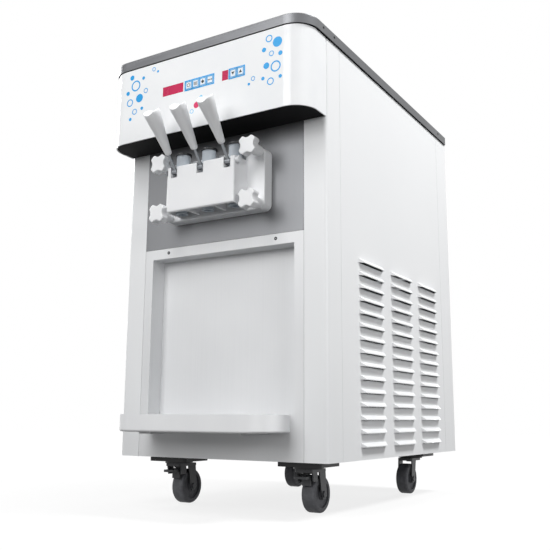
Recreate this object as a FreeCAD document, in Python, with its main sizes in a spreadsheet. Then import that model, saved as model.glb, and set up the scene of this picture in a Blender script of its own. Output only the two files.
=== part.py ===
import FreeCAD, Part
import math
import os
import re
import Sketcher
from FreeCAD import Placement, Rotation, Vector

DOC = FreeCAD.newDocument("soft_serve_machine")

# Every driving size in millimetres, with the thing it measures.
SIZES = [
    ("cabinet_width", 520, "cabinet across"),
    ("cabinet_depth", 742, "cabinet front face to rear face"),
    ("front_plane", -296.1, "where the cabinet's front face lies on Y"),
    ("underside", 106, "cabinet underside above the floor"),
    ("cabinet_top", 970, "upper edge of the cabinet panels"),
    ("skin", 1.5, "sheet metal thickness"),
    ("seam", 0.6, "open seam between neighbouring panels"),
    ("past", 1, "how far a cut runs past the face it opens"),
    ("post_front", 52, "corner post leg on the front"),
    ("post_side", 62, "corner post leg on the side"),
    ("post_radius", 8, "outer bend of a corner post"),
    ("rear_wrap", 76, "rear panel's return on each side"),
    ("pan_thickness", 3, "base pan plate"),
    ("pan_lip", 22, "base pan upturned edge"),
    ("upright", 24, "square upright of the chassis"),
    ("shelf_height", 91.5, "barrels' axes above the machine shelf's underside"),
    ("shelf_front", 60, "machine shelf set back from the front face"),
    ("louvre_length", 128, "louvre along the panel"),
    ("louvre_height", 9.5, "louvre from lip to flush edge"),
    ("louvre_out", 9, "louvre lip out of the panel"),
    ("louvre_slope", 11, "louvre end draw-in"),
    ("louvre_wall", 1.3, "louvre hood thickness"),
    ("louvre_pitch", 27.6, "louvre row spacing"),
    ("louvre_step", 173.5, "louvre column spacing"),
    ("louvre_low", 131.5, "lowest louvre lip above the floor"),
    ("louvre_first", 208.5, "first louvre column's middle behind the front face"),
    ("rear_louvre_low", 420, "lowest rear louvre lip above the floor"),
    ("rear_louvre_step", 190, "rear louvre column spacing"),
    ("rim_gap", 1.7, "open line below the top panel's rim"),
    ("rim_height", 21.8, "top panel's rim"),
    ("rim_lap", 4, "top panel's rim outside the cabinet"),
    ("rim_wall", 1.5, "top panel sheet"),
    ("rim_edge", 2.5, "rounding of the top panel's upper edge"),
    ("deck_back", 24, "rear deck's pressed seam behind the hopper rims"),
    ("deck_seam", 2, "width of the pressed seam before the rear deck"),
    ("deck_seam_depth", 0.6, "depth of the pressed seam before the rear deck"),
    ("header_reach", 88, "header in front of the cabinet"),
    ("header_radius", 50, "header front corners"),
    ("header_bottom", 115, "header underside above the barrels' axes"),
    ("header_wall", 2.5, "header wall"),
    ("header_edge", 1.2, "rounding of the header's lower edge"),
    ("soffit", 3, "header underside plate"),
    ("soffit_gap", 0.25, "header underside plate to header wall"),
    ("key_width", 16.4, "control key across"),
    ("key_height", 18, "control key up"),
    ("key_depth", 5, "control key front to back"),
    ("key_pitch", 18.9, "control key spacing"),
    ("key_gap", 0.4, "control key to its opening"),
    ("key_corner", 2, "control key's corner rounding"),
    ("key_proud", 0.6, "control key in front of the header"),
    ("key_row", 896, "control key middle above the floor"),
    ("key_middle", 0.3, "four-key group's middle across"),
    ("pair_middle", 97.5, "two-key group's middle across"),
    ("window_wide", 57, "large display window across"),
    ("window_small", 15.5, "small display window across"),
    ("window_height", 22, "display window up"),
    ("window_depth", 1.2, "display window thickness"),
    ("window_x", -71.5, "large display window's middle across"),
    ("window_small_x", 67.8, "small display window's middle across"),
    ("frame_line", 564.5, "line between the upper and lower front panels"),
    ("recess_half", 185.4, "front recess half width"),
    ("recess_top", 541.2, "front recess ceiling above the floor"),
    ("recess_floor", 196.5, "front recess floor above the floor"),
    ("recess_depth", 40.5, "front recess behind the front face"),
    ("tray_half", 176.3, "drip tray half width"),
    ("tray_reach", 125, "drip tray in front of the cabinet"),
    ("tray_bottom", 161, "drip tray underside above the floor"),
    ("tray_height", 35, "drip tray height"),
    ("tray_radius", 45, "drip tray front corners"),
    ("tray_wall", 3, "drip tray wall"),
    ("tray_edge", 5, "drip tray lower edge rounding"),
    ("grid_gap", 1, "drip grid to tray wall"),
    ("grid_thickness", 3, "drip grid"),
    ("grid_drop", 9, "drip grid's top below the tray rim"),
    ("grid_slot", 9, "drip grid slot across"),
    ("grid_slot_length", 42.5, "drip grid slot front to back"),
    ("grid_first", 132.2, "first drip grid slot left of the middle"),
    ("grid_pitch", 17.6, "drip grid slot spacing"),
    ("grid_front", 110, "front row of drip grid slots in front of the cabinet"),
    ("grid_row", 52.5, "drip grid row spacing"),
    ("pillar_radius", 6, "drip grid's rest pillar radius"),
    ("pillar_x", 105.8, "rest pillar from the middle"),
    ("tongue_half", 15, "tray tongue half width"),
    ("tongue_x", 110, "tray tongue's middle across"),
    ("tongue_thickness", 4, "tray tongue"),
    ("tongue_reach", 95, "tray tongue in front of the cabinet"),
    ("barrel_height", 681.5, "freezing barrel axis above the floor"),
    ("barrel_x", 62, "freezing barrel axis from the middle"),
    ("barrel_outer", 56, "freezing barrel jacket radius"),
    ("barrel_bore", 46, "freezing barrel bore radius"),
    ("barrel_length", 330, "freezing barrel behind its face plate"),
    ("barrel_back", 8, "freezing barrel end wall"),
    ("mouth_gap", 2, "front panel's opening round a barrel mouth"),
    ("face_plate", 8, "barrel face plate thickness"),
    ("face_half", 140, "barrel face plate half width"),
    ("face_rise", 72, "barrel face plate half height"),
    ("inlet_back", 270, "mix inlet behind the face plate"),
    ("inlet_outer", 16, "mix inlet stub radius"),
    ("inlet_bore", 10, "mix inlet bore radius"),
    ("inlet_rise", 20, "mix inlet stub above the barrel"),
    ("stud_radius", 5, "door stud radius"),
    ("stud_reach", 70, "door stud in front of the cabinet"),
    ("stud_hole", 6, "door stud hole radius"),
    ("knob_x", 116.8, "star knob axis from the middle"),
    ("knob_rise", 56.3, "star knob axis above or below the barrel axis"),
    ("flange_half", 130.5, "door flange half width"),
    ("flange_up", 65.3, "door flange above the barrel axis"),
    ("flange_down", 67.5, "door flange below the barrel axis"),
    ("flange_thickness", 28.5, "door flange"),
    ("flange_radius", 14, "door flange corners"),
    ("block_half", 87.5, "door block half width"),
    ("block_up", 40.5, "door block above the barrel axis"),
    ("block_down", 60.5, "door block below the barrel axis"),
    ("block_reach", 78.2, "door block in front of the cabinet"),
    ("block_edge", 4, "door block edge rounding"),
    ("door_edge", 2.5, "door flange edge rounding"),
    ("plug_radius", 45, "door plug in a barrel mouth"),
    ("plug_neck", 42, "door plug below its seal"),
    ("plug_step", 4, "one step of a door plug"),
    ("seal_gap", 0.2, "door seal to what it sits in"),
    ("valve_pitch", 69.5, "draw valve spacing"),
    ("valve_back", 46, "draw valve axis in front of the cabinet"),
    ("valve_radius", 15, "draw valve radius"),
    ("valve_clearance", 0.3, "draw valve to its bore"),
    ("valve_foot", 11, "draw valve's foot above the block's underside"),
    ("nose_radius", 10, "draw valve's nose radius"),
    ("nose_length", 11, "draw valve's nose"),
    ("collar_radius", 18.3, "draw valve's top collar radius"),
    ("collar_height", 4, "draw valve's top collar"),
    ("valve_top", 76, "draw valve's top above the barrel axis"),
    ("valve_groove", 1.8, "depth of a seal groove round a draw valve"),
    ("valve_groove_wide", 4, "width of a seal groove round a draw valve"),
    ("spout_wall", 3, "wall of an outlet round its bore"),
    ("outlet_ceiling", 17, "outlet pocket above the block's underside"),
    ("outlet_wall", 3, "block's side wall beside an outlet pocket"),
    ("outlet_front", 5, "block's front wall before an outlet pocket"),
    ("outlet_back", 2, "web between an outlet pocket and the flange"),
    ("outlet_rib", 3, "half of the rib between two outlet pockets"),
    ("cap_height", 6, "nozzle cap"),
    ("cap_lift", 1, "nozzle cap above the block's underside"),
    ("star_core", 6.5, "nozzle cap's round opening radius"),
    ("star_tooth", 4, "nozzle cap's star slot width"),
    ("port_radius", 6, "port from barrel to draw valve"),
    ("port_rise", 26, "outer port above the block's underside"),
    ("cross_x", 32, "inner port from the middle"),
    ("cross_rise", 41, "inner port above the block's underside"),
    ("cross_radius", 5.5, "inner port radius"),
    ("mix_half", 37, "mixing chamber half width"),
    ("mix_low", 23, "mixing chamber's floor above the block's underside"),
    ("mix_high", 46, "mixing chamber's ceiling above the block's underside"),
    ("mix_front", 4, "mixing chamber in front of the middle valve's axis"),
    ("slot_half", 8.5, "lever slot half width"),
    ("slot_depth", 25, "lever slot below the block's top"),
    ("pivot_front", 71.5, "lever pivot in front of the cabinet"),
    ("pivot_rise", 30.5, "lever pivot above the barrel axis"),
    ("pin_radius", 4, "lever pivot pin radius"),
    ("pin_fit", 0.08, "running fit on a pin"),
    ("pin_side", 1, "pivot pin's heads off the block"),
    ("pin_head", 6.4, "pivot pin's plain head radius"),
    ("pin_head_height", 4, "pivot pin's plain head"),
    ("pin_neck", 5.2, "pivot pin's knob radius at the block"),
    ("pin_knob", 7.6, "pivot pin's knob radius at its end"),
    ("pin_knob_length", 7, "pivot pin's knob taper"),
    ("pin_knob_end", 2.5, "pivot pin's knob end"),
    ("boss_radius", 6.5, "lever boss radius"),
    ("boss_half", 6.5, "lever boss half width"),
    ("arm_length", 15, "lever pivot to the ball"),
    ("arm_angle", 28, "ball below the pivot at rest, degrees"),
    ("arm_radius", 2.5, "lever arm radius"),
    ("ball_radius", 5, "lever ball radius"),
    ("ball_gap", 1, "lever ball to the draw valve's slot"),
    ("lever_tilt", 39, "handle forward of upright at rest, degrees"),
    ("rod_radius", 3.5, "lever rod radius"),
    ("grip_start", 40, "grip's lower end from the pivot"),
    ("grip_length", 100, "grip length"),
    ("grip_socket", 24, "rod inside the grip"),
    ("grip_low", 7.8, "grip radius at its lower end"),
    ("grip_high", 18, "grip radius near its upper end"),
    ("grip_edge", 3, "rounding of a grip's lower end"),
    ("saddle_radius", 20, "saddle cut in a grip's end"),
    ("saddle_depth", 6, "depth of the saddle in a grip's end"),
    ("star_reach", 22.5, "star knob lobe radius"),
    ("star_thickness", 19, "star knob head"),
    ("star_scoop", 12.5, "star knob scoop radius"),
    ("star_scoop_x", 28.5, "star knob scoop centre from the axis"),
    ("star_shank", 30, "star knob shank"),
    ("star_low", 11, "star knob shank radius at the door"),
    ("star_high", 12.6, "star knob shank radius at the head"),
    ("star_tip", 4, "star knob lobe rounding"),
    ("star_edge", 2.5, "star knob front edge rounding"),
    ("star_gap", 0.4, "star knob to the door flange"),
    ("star_socket", 43.2, "stud hole's depth in a star knob"),
    ("hopper_half", 96, "hopper tub half width"),
    ("hopper_x", 110, "hopper middle from the machine's middle"),
    ("hopper_front", 75, "hopper tub behind the front face"),
    ("hopper_length", 300, "hopper tub front to back"),
    ("hopper_rise", 124, "hopper tub's floor above the barrels' axes"),
    ("hopper_wall", 1.5, "hopper sheet"),
    ("hopper_round", 16, "hopper corner rounding"),
    ("hopper_bend", 11.2, "hopper floor rounding"),
    ("hopper_rim", 10, "hopper rim on the top panel"),
    ("hopper_gap", 1, "hopper tub to its opening"),
    ("lid_height", 16, "hopper lid"),
    ("lid_wall", 3, "hopper lid wall"),
    ("lid_inset", 2, "hopper lid inside the hopper rim's edge"),
    ("lid_round", 12, "hopper lid corner rounding"),
    ("lid_edge", 4.8, "hopper lid upper edge rounding"),
    ("lid_grip_length", 100, "hopper lid grip bar"),
    ("lid_grip_width", 16, "hopper lid grip bar across"),
    ("lid_grip_height", 16, "hopper lid grip bar height"),
    ("lid_grip_round", 4, "hopper lid grip bar rounding"),
    ("feed_radius", 9.7, "mix feed tube radius"),
    ("feed_bore", 7, "mix feed tube bore radius"),
    ("feed_collar", 14, "mix feed tube collar radius"),
    ("feed_collar_height", 4, "mix feed tube collar"),
    ("feed_above", 66.5, "top panel above the mix feed tube's end"),
    ("feed_below", 24, "mix feed tube below the hopper floor"),
    ("shaft_radius", 8, "beater shaft radius"),
    ("beater_radius", 44, "beater flight radius"),
    ("beater_pitch", 96, "beater flight rise in one turn"),
    ("beater_blade", 5, "beater flight thickness"),
    ("beater_clear", 8, "beater to the barrel ends"),
    ("shaft_reach", 27, "beater shaft inside the gearbox"),
    ("shaft_socket", 35, "shaft hole in the gearbox"),
    ("gear_length", 90, "gearbox front to back"),
    ("gear_half", 52, "gearbox half width"),
    ("gear_round", 8, "gearbox upper edge rounding"),
    ("motor_radius", 46, "beater motor radius"),
    ("motor_length", 110, "beater motor length"),
    ("motor_round", 6, "beater motor end rounding"),
    ("compressor_radius", 86, "compressor shell radius"),
    ("compressor_height", 200, "compressor shell"),
    ("compressor_round", 36, "compressor shell rounding"),
    ("compressor_side", 140, "compressor axis inside the left side"),
    ("compressor_back", 210, "compressor axis behind the front face"),
    ("compressor_foot", 14, "compressor feet"),
    ("foot_radius", 13, "compressor foot radius"),
    ("foot_spot", 69, "compressor foot from the axis each way"),
    ("compressor_plate", 4, "compressor foot plate"),
    ("condenser_side", 68, "condenser core's middle inside the right side"),
    ("condenser_thick", 44, "condenser core through"),
    ("condenser_front", 200, "condenser core behind the front face"),
    ("condenser_length", 330, "condenser core front to back"),
    ("condenser_height", 290, "condenser core height"),
    ("fin_gap", 7, "opening between condenser fins"),
    ("fin_pitch", 15, "condenser fin spacing"),
    ("fin_margin", 15, "solid end of the condenser core, front and back"),
    ("fin_end", 14, "solid end of the condenser core, top and bottom"),
    ("shroud_depth", 50, "fan shroud"),
    ("fan_radius", 118, "fan blade radius"),
    ("fan_hub", 24, "fan hub radius"),
    ("fan_gap", 7, "fan to its shroud"),
    ("fan_motor", 34, "fan motor radius"),
    ("fan_motor_length", 60, "fan motor length"),
    ("fan_motor_gap", 6, "fan motor to the shroud"),
    ("fan_shaft", 5, "fan shaft radius"),
    ("fan_shaft_back", 10, "fan shaft behind the shroud"),
    ("fan_shaft_length", 30, "fan shaft"),
    ("fan_hub_length", 26, "fan hub"),
    ("fan_hub_bore", 21, "shaft hole in the fan hub"),
    ("fan_hub_in", 2, "fan hub inside the shroud"),
    ("blade_root", 17, "fan blade start from the axis"),
    ("blade_tip", 2, "fan blade short of the fan radius"),
    ("blade_width", 38, "fan blade across"),
    ("blade_thick", 2.5, "fan blade thickness"),
    ("blade_side", 16, "fan blade beside the axis"),
    ("blade_lift", 3, "fan blade above the hub end"),
    ("bracket_off", 8, "fan motor bracket off the shroud"),
    ("bracket_thick", 6, "fan motor bracket bar thickness"),
    ("bracket_half", 6, "fan motor bracket bar half height"),
    ("bracket_rise", 20, "fan motor bracket bar from the fan axis"),
    ("bracket_in", 5, "bracket bar's end from the shroud's edge"),
    ("control_width", 130, "control box across"),
    ("control_depth", 160, "control box front to back"),
    ("control_height", 210, "control box height"),
    ("control_back", 540, "control box behind the front face"),
    ("control_side", 18, "control box inside the left side"),
    ("control_round", 3, "control box corner rounding"),
    ("control_lap", 3, "control box cover outside the box"),
    ("control_cover", 12, "control box cover skirt"),
    ("control_cover_top", 2, "control box cover plate"),
    ("caster_x", 167, "caster axis from the middle"),
    ("caster_in", 92, "caster axis from the front or rear face"),
    ("caster_trail", 31, "caster axis to wheel axle"),
    ("plate_long", 100, "caster plate across"),
    ("plate_wide", 90, "caster plate front to back"),
    ("plate_thick", 12, "caster plate"),
    ("plate_round", 8, "caster plate corner rounding"),
    ("race_radius", 31, "caster raceway radius"),
    ("race_height", 5, "caster raceway"),
    ("race_gap", 0.4, "raceway to fork"),
    ("crown_thick", 6, "caster fork crown"),
    ("kingpin", 7, "caster kingpin radius"),
    ("kingpin_head", 11, "caster kingpin head radius"),
    ("kingpin_head_height", 3, "caster kingpin head"),
    ("fork_inner", 16.5, "fork leg inside face from the middle"),
    ("fork_leg", 3, "fork leg thickness"),
    ("fork_leg_width", 26, "fork leg under the crown"),
    ("fork_front", 25, "fork crown in front of the caster axis"),
    ("fork_back", 42, "fork crown behind the caster axis"),
    ("fork_round", 6, "fork crown corner rounding"),
    ("axle_radius", 4, "wheel axle radius"),
    ("axle_boss", 11, "fork leg round the axle"),
    ("axle_nut", 6.4, "axle nut radius"),
    ("axle_nut_height", 2.5, "axle nut"),
    ("wheel_radius", 37.5, "caster wheel radius"),
    ("wheel_half", 15, "caster wheel half width"),
    ("wheel_round", 5, "caster wheel tread rounding"),
    ("wheel_dish", 27, "caster wheel side recess radius"),
    ("wheel_dish_depth", 4, "caster wheel side recess"),
    ("wheel_hub", 11, "caster wheel hub radius"),
    ("hub_proud", 0.8, "caster wheel hub outside the tread"),
    ("pedal_y", -6, "brake pedal pin behind the caster axis"),
    ("pedal_z", 73, "brake pedal pin above the floor"),
    ("pedal_half", 14, "brake pedal half width"),
    ("pedal_reach", 33, "brake pedal in front of its pin"),
    ("pedal_thick", 5, "brake pedal thickness"),
    ("pedal_shoe", 17, "brake shoe below its pin"),
    ("pedal_pin", 3, "brake pedal pin radius"),
    ("pedal_ear", 8, "fork's ear round the brake pedal pin"),
    ("pedal_barrel", 5.1, "brake pedal barrel radius"),
    ("pedal_round", 5, "brake pedal corner rounding"),
    ("shoe_half", 9.8, "brake shoe half width"),
    ("gland_x", -150, "cord gland across"),
    ("gland_z", 200, "cord gland above the floor"),
    ("gland_thread", 8, "cord gland thread radius"),
    ("gland_nut", 13, "cord gland nut radius"),
    ("gland_locknut", 4.8, "cord gland locknut"),
    ("gland_hex", 8, "cord gland nut outside the rear panel"),
    ("gland_dome", 12, "cord gland dome radius at its nut"),
    ("gland_mouth", 9.4, "cord gland dome radius at its mouth"),
    ("gland_bore", 5, "cord gland bore radius"),
    ("gland_out", 20, "cord gland behind the rear panel"),
    ("gland_in", 8, "cord gland inside the rear panel"),
]
NAMES = {row[0] for row in SIZES}
SHEET = DOC.addObject("Spreadsheet::Sheet", "Sizes")
for index, (alias, value, note) in enumerate(SIZES, start=1):
    SHEET.set(f"A{index}", note)
    SHEET.set(f"B{index}", str(value))
    SHEET.setAlias(f"B{index}", alias)
DOC.recompute()

# Places that many pieces share.
HALF = "cabinet_width/2"
INNER = "(cabinet_width/2 - skin)"
REAR = "(front_plane + cabinet_depth)"
TOP = "(cabinet_top + rim_gap + rim_height)"
PLATE = "(front_plane + skin + face_plate)"
BLOCK_LOW = "(barrel_height - block_down)"
BLOCK_HIGH = "(barrel_height + block_up)"
SPOUT_LOW = "(barrel_height - block_down + cap_lift + cap_height)"
FLANGE_FACE = "(front_plane - flange_thickness)"
BLOCK_FACE = "(front_plane - block_reach)"
VALVE_Y = "(front_plane - valve_back)"
PIVOT_Y = "(front_plane - pivot_front)"
PIVOT_Z = "(barrel_height + pivot_rise)"
INLET_Y = "(front_plane + skin + face_plate + inlet_back)"
BARREL_END = "(front_plane + skin + face_plate + barrel_length)"
HEADER_LOW = "(barrel_height + header_bottom)"
SHELF = "(barrel_height - shelf_height)"
HOPPER_FLOOR = "(barrel_height + hopper_rise)"
COMPRESSOR_X = "(compressor_side - cabinet_width/2)"
CONDENSER_X = "(cabinet_width/2 - condenser_side)"
CONTROL_X = "(control_side - cabinet_width/2)"
RIM_TOP = "(cabinet_top + rim_gap + rim_height + hopper_wall)"
CROWN_TOP = "(underside - plate_thick - race_height - race_gap)"

# A sketch begins as a regular figure of this radius, before its corners follow the sizes.
SKETCH_START = 50

ALONG = {
    "x": Rotation(Vector(0, 1, 0), 90),
    "y": Rotation(Vector(1, 0, 0), -90),
    "z": Rotation(),
}


def tie(text):
    """An expression in which each size's name points at its cell."""
    return re.sub(r"[a-z][a-z_]*", lambda m: "Sizes." + m[0] if m[0] in NAMES else m[0], str(text))


def drive(thing, **sizes):
    for field, text in sizes.items():
        thing.setExpression(field, tie(text))


def put(thing, x, y, z):
    for field, text in zip("xyz", (x, y, z)):
        thing.setExpression(f"Placement.Base.{field}", tie(text))


def size(alias):
    return float(SHEET.get(alias))


class Piece:
    """One body that grows feature by feature."""

    def __init__(self, name):
        self.body = DOC.addObject("PartDesign::Body", name)
        self.body.Label = name
        self.axes = {item.Role: item for item in self.body.Origin.OriginFeatures}
        self.number = 0

    def feature(self, kind):
        self.number += 1
        return self.body.newObject("PartDesign::" + kind, f"{self.body.Name}_{kind}_{self.number}")

    def box(self, x, y, z, cut=False):
        """A block between two places on each axis."""
        solid = self.feature("SubtractiveBox" if cut else "AdditiveBox")
        drive(
            solid,
            Length=f"({x[1]}) - ({x[0]})",
            Width=f"({y[1]}) - ({y[0]})",
            Height=f"({z[1]}) - ({z[0]})",
        )
        put(solid, x[0], y[0], z[0])
        return solid

    def rod(self, radius, length, x, y, z, along="z", cut=False, turn=None):
        """A cylinder from its base point along one axis or a turned one."""
        solid = self.feature("SubtractiveCylinder" if cut else "AdditiveCylinder")
        solid.Placement = Placement(Vector(), turn or ALONG[along])
        drive(solid, Radius=radius, Height=length)
        put(solid, x, y, z)
        return solid

    def cone(self, low, high, length, x, y, z, along="z"):
        solid = self.feature("AdditiveCone")
        solid.Placement = Placement(Vector(), ALONG[along])
        drive(solid, Radius1=low, Radius2=high, Height=length)
        put(solid, x, y, z)
        return solid

    def ball(self, radius, x, y, z):
        solid = self.feature("AdditiveSphere")
        drive(solid, Radius=radius)
        put(solid, x, y, z)
        return solid

    def wedge(self, spans, turn, x, y, z, cut=False):
        solid = self.feature("SubtractiveWedge" if cut else "AdditiveWedge")
        solid.Placement = Placement(Vector(), Rotation(Vector(0, 0, 1), turn))
        drive(solid, **spans)
        put(solid, x, y, z)
        return solid

    def edges(self, pick):
        DOC.recompute()
        tip = self.body.Tip
        found = [f"Edge{i}" for i, edge in enumerate(tip.Shape.Edges, start=1) if pick(edge)]
        return (tip, found)

    def fillet(self, radius, pick):
        base = self.edges(pick)
        rounded = self.feature("Fillet")
        rounded.Base = base
        drive(rounded, Radius=radius)
        DOC.recompute()
        return rounded

    def shell(self, wall, pick):
        DOC.recompute()
        tip = self.body.Tip
        opened = [f"Face{i}" for i, face in enumerate(tip.Shape.Faces, start=1) if pick(face)]
        hollow = self.feature("Thickness")
        hollow.Base = (tip, opened)
        hollow.Reversed = True
        drive(hollow, Value=wall)
        DOC.recompute()
        return hollow

    def outline(self, plane, points, depth="0"):
        """A closed sketch whose corners follow the sizes."""
        self.number += 1
        sketch = self.body.newObject("Sketcher::SketchObject", f"{self.body.Name}_outline_{self.number}")
        sketch.AttachmentSupport = [(self.axes[plane], "")]
        sketch.MapMode = "FlatFace"
        sketch.setExpression("AttachmentOffset.Base.z", tie(depth))
        count = len(points)
        turns = [2 * math.pi * i / count for i in range(count)]
        start = [Vector(math.cos(turn), math.sin(turn), 0) * SKETCH_START for turn in turns]
        for i in range(count):
            sketch.addGeometry(Part.LineSegment(start[i], start[(i + 1) % count]))
        for i in range(count):
            sketch.addConstraint(Sketcher.Constraint("Coincident", i, 2, (i + 1) % count, 1))
        for i, corner in enumerate(points):
            spans = (("DistanceX", corner[0], start[i].x), ("DistanceY", corner[1], start[i].y))
            for kind, text, now in spans:
                at = sketch.addConstraint(Sketcher.Constraint(kind, -1, 1, i, 1, now))
                sketch.setExpression(f"Constraints[{at}]", tie(text))
        return sketch

    def pad(self, plane, points, length, depth="0"):
        sketch = self.outline(plane, points, depth)
        grown = self.feature("Pad")
        grown.Profile = sketch
        drive(grown, Length=length)
        return grown

    def spin(self, plane, points):
        """A turned form about the sketch's upright axis."""
        sketch = self.outline(plane, points)
        turned = self.feature("Revolution")
        turned.Profile = sketch
        turned.ReferenceAxis = (sketch, ["V_Axis"])
        turned.Angle = 360
        return turned

    def round_pattern(self, originals, count, axis="Z_Axis"):
        ring = self.feature("PolarPattern")
        ring.Originals = originals
        ring.Axis = (self.axes[axis], [""])
        ring.Angle = 360
        ring.Occurrences = count
        self.body.Tip = ring
        return ring

    def rows(self, originals, *runs):
        """Copies of the same features in rows: axis, spacing and count of each run."""
        field = self.feature("MultiTransform")
        field.Originals = originals
        steps = []
        for axis, spacing, count in runs:
            step = self.feature("LinearPattern")
            step.Direction = (self.axes[axis], [""])
            step.Mode = "Spacing"
            step.Occurrences = count
            drive(step, Offset=spacing)
            steps.append(step)
        field.Transformations = steps
        self.body.Tip = field
        return field

    def stand(self, x, y, z, turn=None):
        if turn:
            self.body.Placement = Placement(Vector(), turn)
        put(self.body, x, y, z)
        return self

    def tilt(self, angle):
        """Lean the whole piece forward about the X axis."""
        self.body.Placement = Placement(Vector(), Rotation(Vector(1, 0, 0), 1))
        self.body.setExpression("Placement.Rotation.Angle", tie(angle))
        return self


def upright_edge(edge):
    return edge.Curve.TypeId == "Part::GeomLine" and abs(edge.tangentAt(edge.FirstParameter).z) > 0.99


def level(edge, height):
    box = edge.BoundBox
    return abs(box.ZMax - height) < 0.01 and abs(box.ZMin - height) < 0.01


def facing(face, x, y, z):
    if face.Surface.TypeId != "Part::GeomPlane":
        return False
    return face.normalAt(0, 0).dot(Vector(x, y, z)) > 0.99


def together(name, pieces):
    """Several like pieces that share one node."""
    group = DOC.addObject("Part::Compound", name)
    group.Label = name
    group.Links = [piece.body for piece in pieces]
    return group


def louvres(piece, turn, x, y, z, rows, columns):
    """Hoods pressed out of a panel, each open along its lower edge."""
    hood = piece.wedge(
        {
            "Xmin": "-louvre_length/2",
            "Xmax": "louvre_length/2",
            "X2min": "-louvre_length/2 + louvre_slope",
            "X2max": "louvre_length/2 - louvre_slope",
            "Ymin": "0",
            "Ymax": "louvre_out",
            "Zmin": "0",
            "Zmax": "louvre_height",
            "Z2min": "0",
            "Z2max": "louvre_wall*1.6",
        },
        turn, x, y, z,
    )
    mouth = piece.wedge(
        {
            "Xmin": "-louvre_length/2 + louvre_wall",
            "Xmax": "louvre_length/2 - louvre_wall",
            "X2min": "-louvre_length/2 + louvre_slope + louvre_wall",
            "X2max": "louvre_length/2 - louvre_slope - louvre_wall",
            "Ymin": "-2*skin",
            "Ymax": "louvre_out - louvre_wall",
            "Zmin": "-1",
            "Zmax": "louvre_height - 2*louvre_wall",
            "Z2min": "-1",
            "Z2max": "louvre_wall*0.8",
        },
        turn, x, y, z, cut=True,
    )
    piece.rows([hood, mouth], rows, columns)


def chassis_frame():
    p = Piece("chassis_frame")
    lip = "underside + pan_lip"
    p.box((f"-{INNER}", INNER), ("front_plane + skin", f"{REAR} - skin"), ("underside", lip))
    DOC.recompute()
    edge = p.body.Shape.BoundBox.YMin
    p.fillet("post_radius", lambda e: upright_edge(e) and e.CenterOfMass.y < edge + 1)
    p.box(
        (f"-{INNER} + pan_thickness", f"{INNER} - pan_thickness"),
        ("front_plane + skin + pan_thickness", f"{REAR} - skin - pan_thickness"),
        ("underside + pan_thickness", f"{lip} + past"),
        cut=True,
    )
    front = ("front_plane + skin + post_radius", "front_plane + skin + post_radius + upright")
    back = (f"{REAR} - skin - upright", f"{REAR} - skin")
    ceiling = f"{TOP} - rim_wall"
    for across in ((f"-{INNER}", f"-{INNER} + upright"), (f"{INNER} - upright", INNER)):
        p.box(across, front, ("underside", ceiling))
        p.box(across, back, ("underside", ceiling))
        p.box(across, (front[0], back[1]), (f"{ceiling} - upright", ceiling))
    for deep in (front, back):
        p.box((f"-{INNER}", INNER), deep, (f"{ceiling} - upright", ceiling))
    p.box(
        (f"-{INNER}", INNER),
        ("front_plane + shelf_front", f"{REAR} - skin"),
        (SHELF, f"{SHELF} + pan_thickness"),
    )
    return p.body


def side_panel(name, side):
    p = Piece(name)
    inside = f"{side}*{INNER}"
    outside = f"{side}*{HALF}"
    across = (inside, outside) if side > 0 else (outside, inside)
    p.box(
        across,
        ("front_plane + post_side + seam", f"{REAR} - rear_wrap - seam"),
        ("underside", "cabinet_top"),
    )
    louvres(
        p, -90 * side, outside, "front_plane + louvre_first", "louvre_low",
        ("Z_Axis", "louvre_pitch", 15), ("Y_Axis", "louvre_step", 3),
    )
    return p.body


def rear_panel():
    p = Piece("rear_panel")
    tall = ("underside", "cabinet_top")
    p.box((f"-{HALF}", HALF), (f"{REAR} - skin", REAR), tall)
    p.box((f"-{HALF}", f"-{INNER}"), (f"{REAR} - rear_wrap", REAR), tall)
    p.box((INNER, HALF), (f"{REAR} - rear_wrap", REAR), tall)
    p.rod(
        "gland_thread + seal_gap", "skin + 2*past",
        "gland_x", f"{REAR} - skin - past", "gland_z", "y", cut=True,
    )
    louvres(
        p, 0, "-rear_louvre_step/2", REAR, "rear_louvre_low",
        ("Z_Axis", "louvre_pitch", 8), ("X_Axis", "rear_louvre_step", 2),
    )
    return p.body


def corner_posts():
    posts = []
    for name, side in (("left_post", -1), ("right_post", 1)):
        p = Piece(name)
        outer = f"{side}*cabinet_width/2"
        inner = f"{side}*(cabinet_width/2 - skin)"
        edge = f"{side}*(cabinet_width/2 - post_front)"
        p.pad(
            "XY_Plane",
            [
                (edge, "front_plane"),
                (outer, "front_plane"),
                (outer, "front_plane + post_side"),
                (inner, "front_plane + post_side"),
                (inner, "front_plane + skin"),
                (edge, "front_plane + skin"),
            ],
            "cabinet_top - underside",
            "underside",
        )
        DOC.recompute()
        far = p.body.Shape.BoundBox
        outer_x = far.XMax if side > 0 else far.XMin
        wall = size("skin")

        def near(edge, x, y):
            middle = edge.CenterOfMass
            return upright_edge(edge) and abs(middle.x - x) < 0.01 and abs(middle.y - y) < 0.01

        p.fillet("post_radius - skin", lambda e: near(e, outer_x - side * wall, far.YMin + wall))
        p.fillet("post_radius", lambda e: near(e, outer_x, far.YMin))
        posts.append(p)
    return together("corner_posts", posts)


def upper_front_panel():
    p = Piece("upper_front_panel")
    edge = "(cabinet_width/2 - post_front - seam)"
    p.box((f"-{edge}", edge), ("front_plane", "front_plane + skin"), ("frame_line", "cabinet_top"))
    for side in (-1, 1):
        p.rod(
            "barrel_bore + mouth_gap", "skin + 2*past",
            f"{side}*barrel_x", "front_plane - past", "barrel_height", "y", cut=True,
        )
        for row in (-1, 1):
            p.rod(
                "stud_hole", "skin + 2*past",
                f"{side}*knob_x", "front_plane - past", f"barrel_height + {row}*knob_rise", "y", cut=True,
            )
    return p.body


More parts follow.
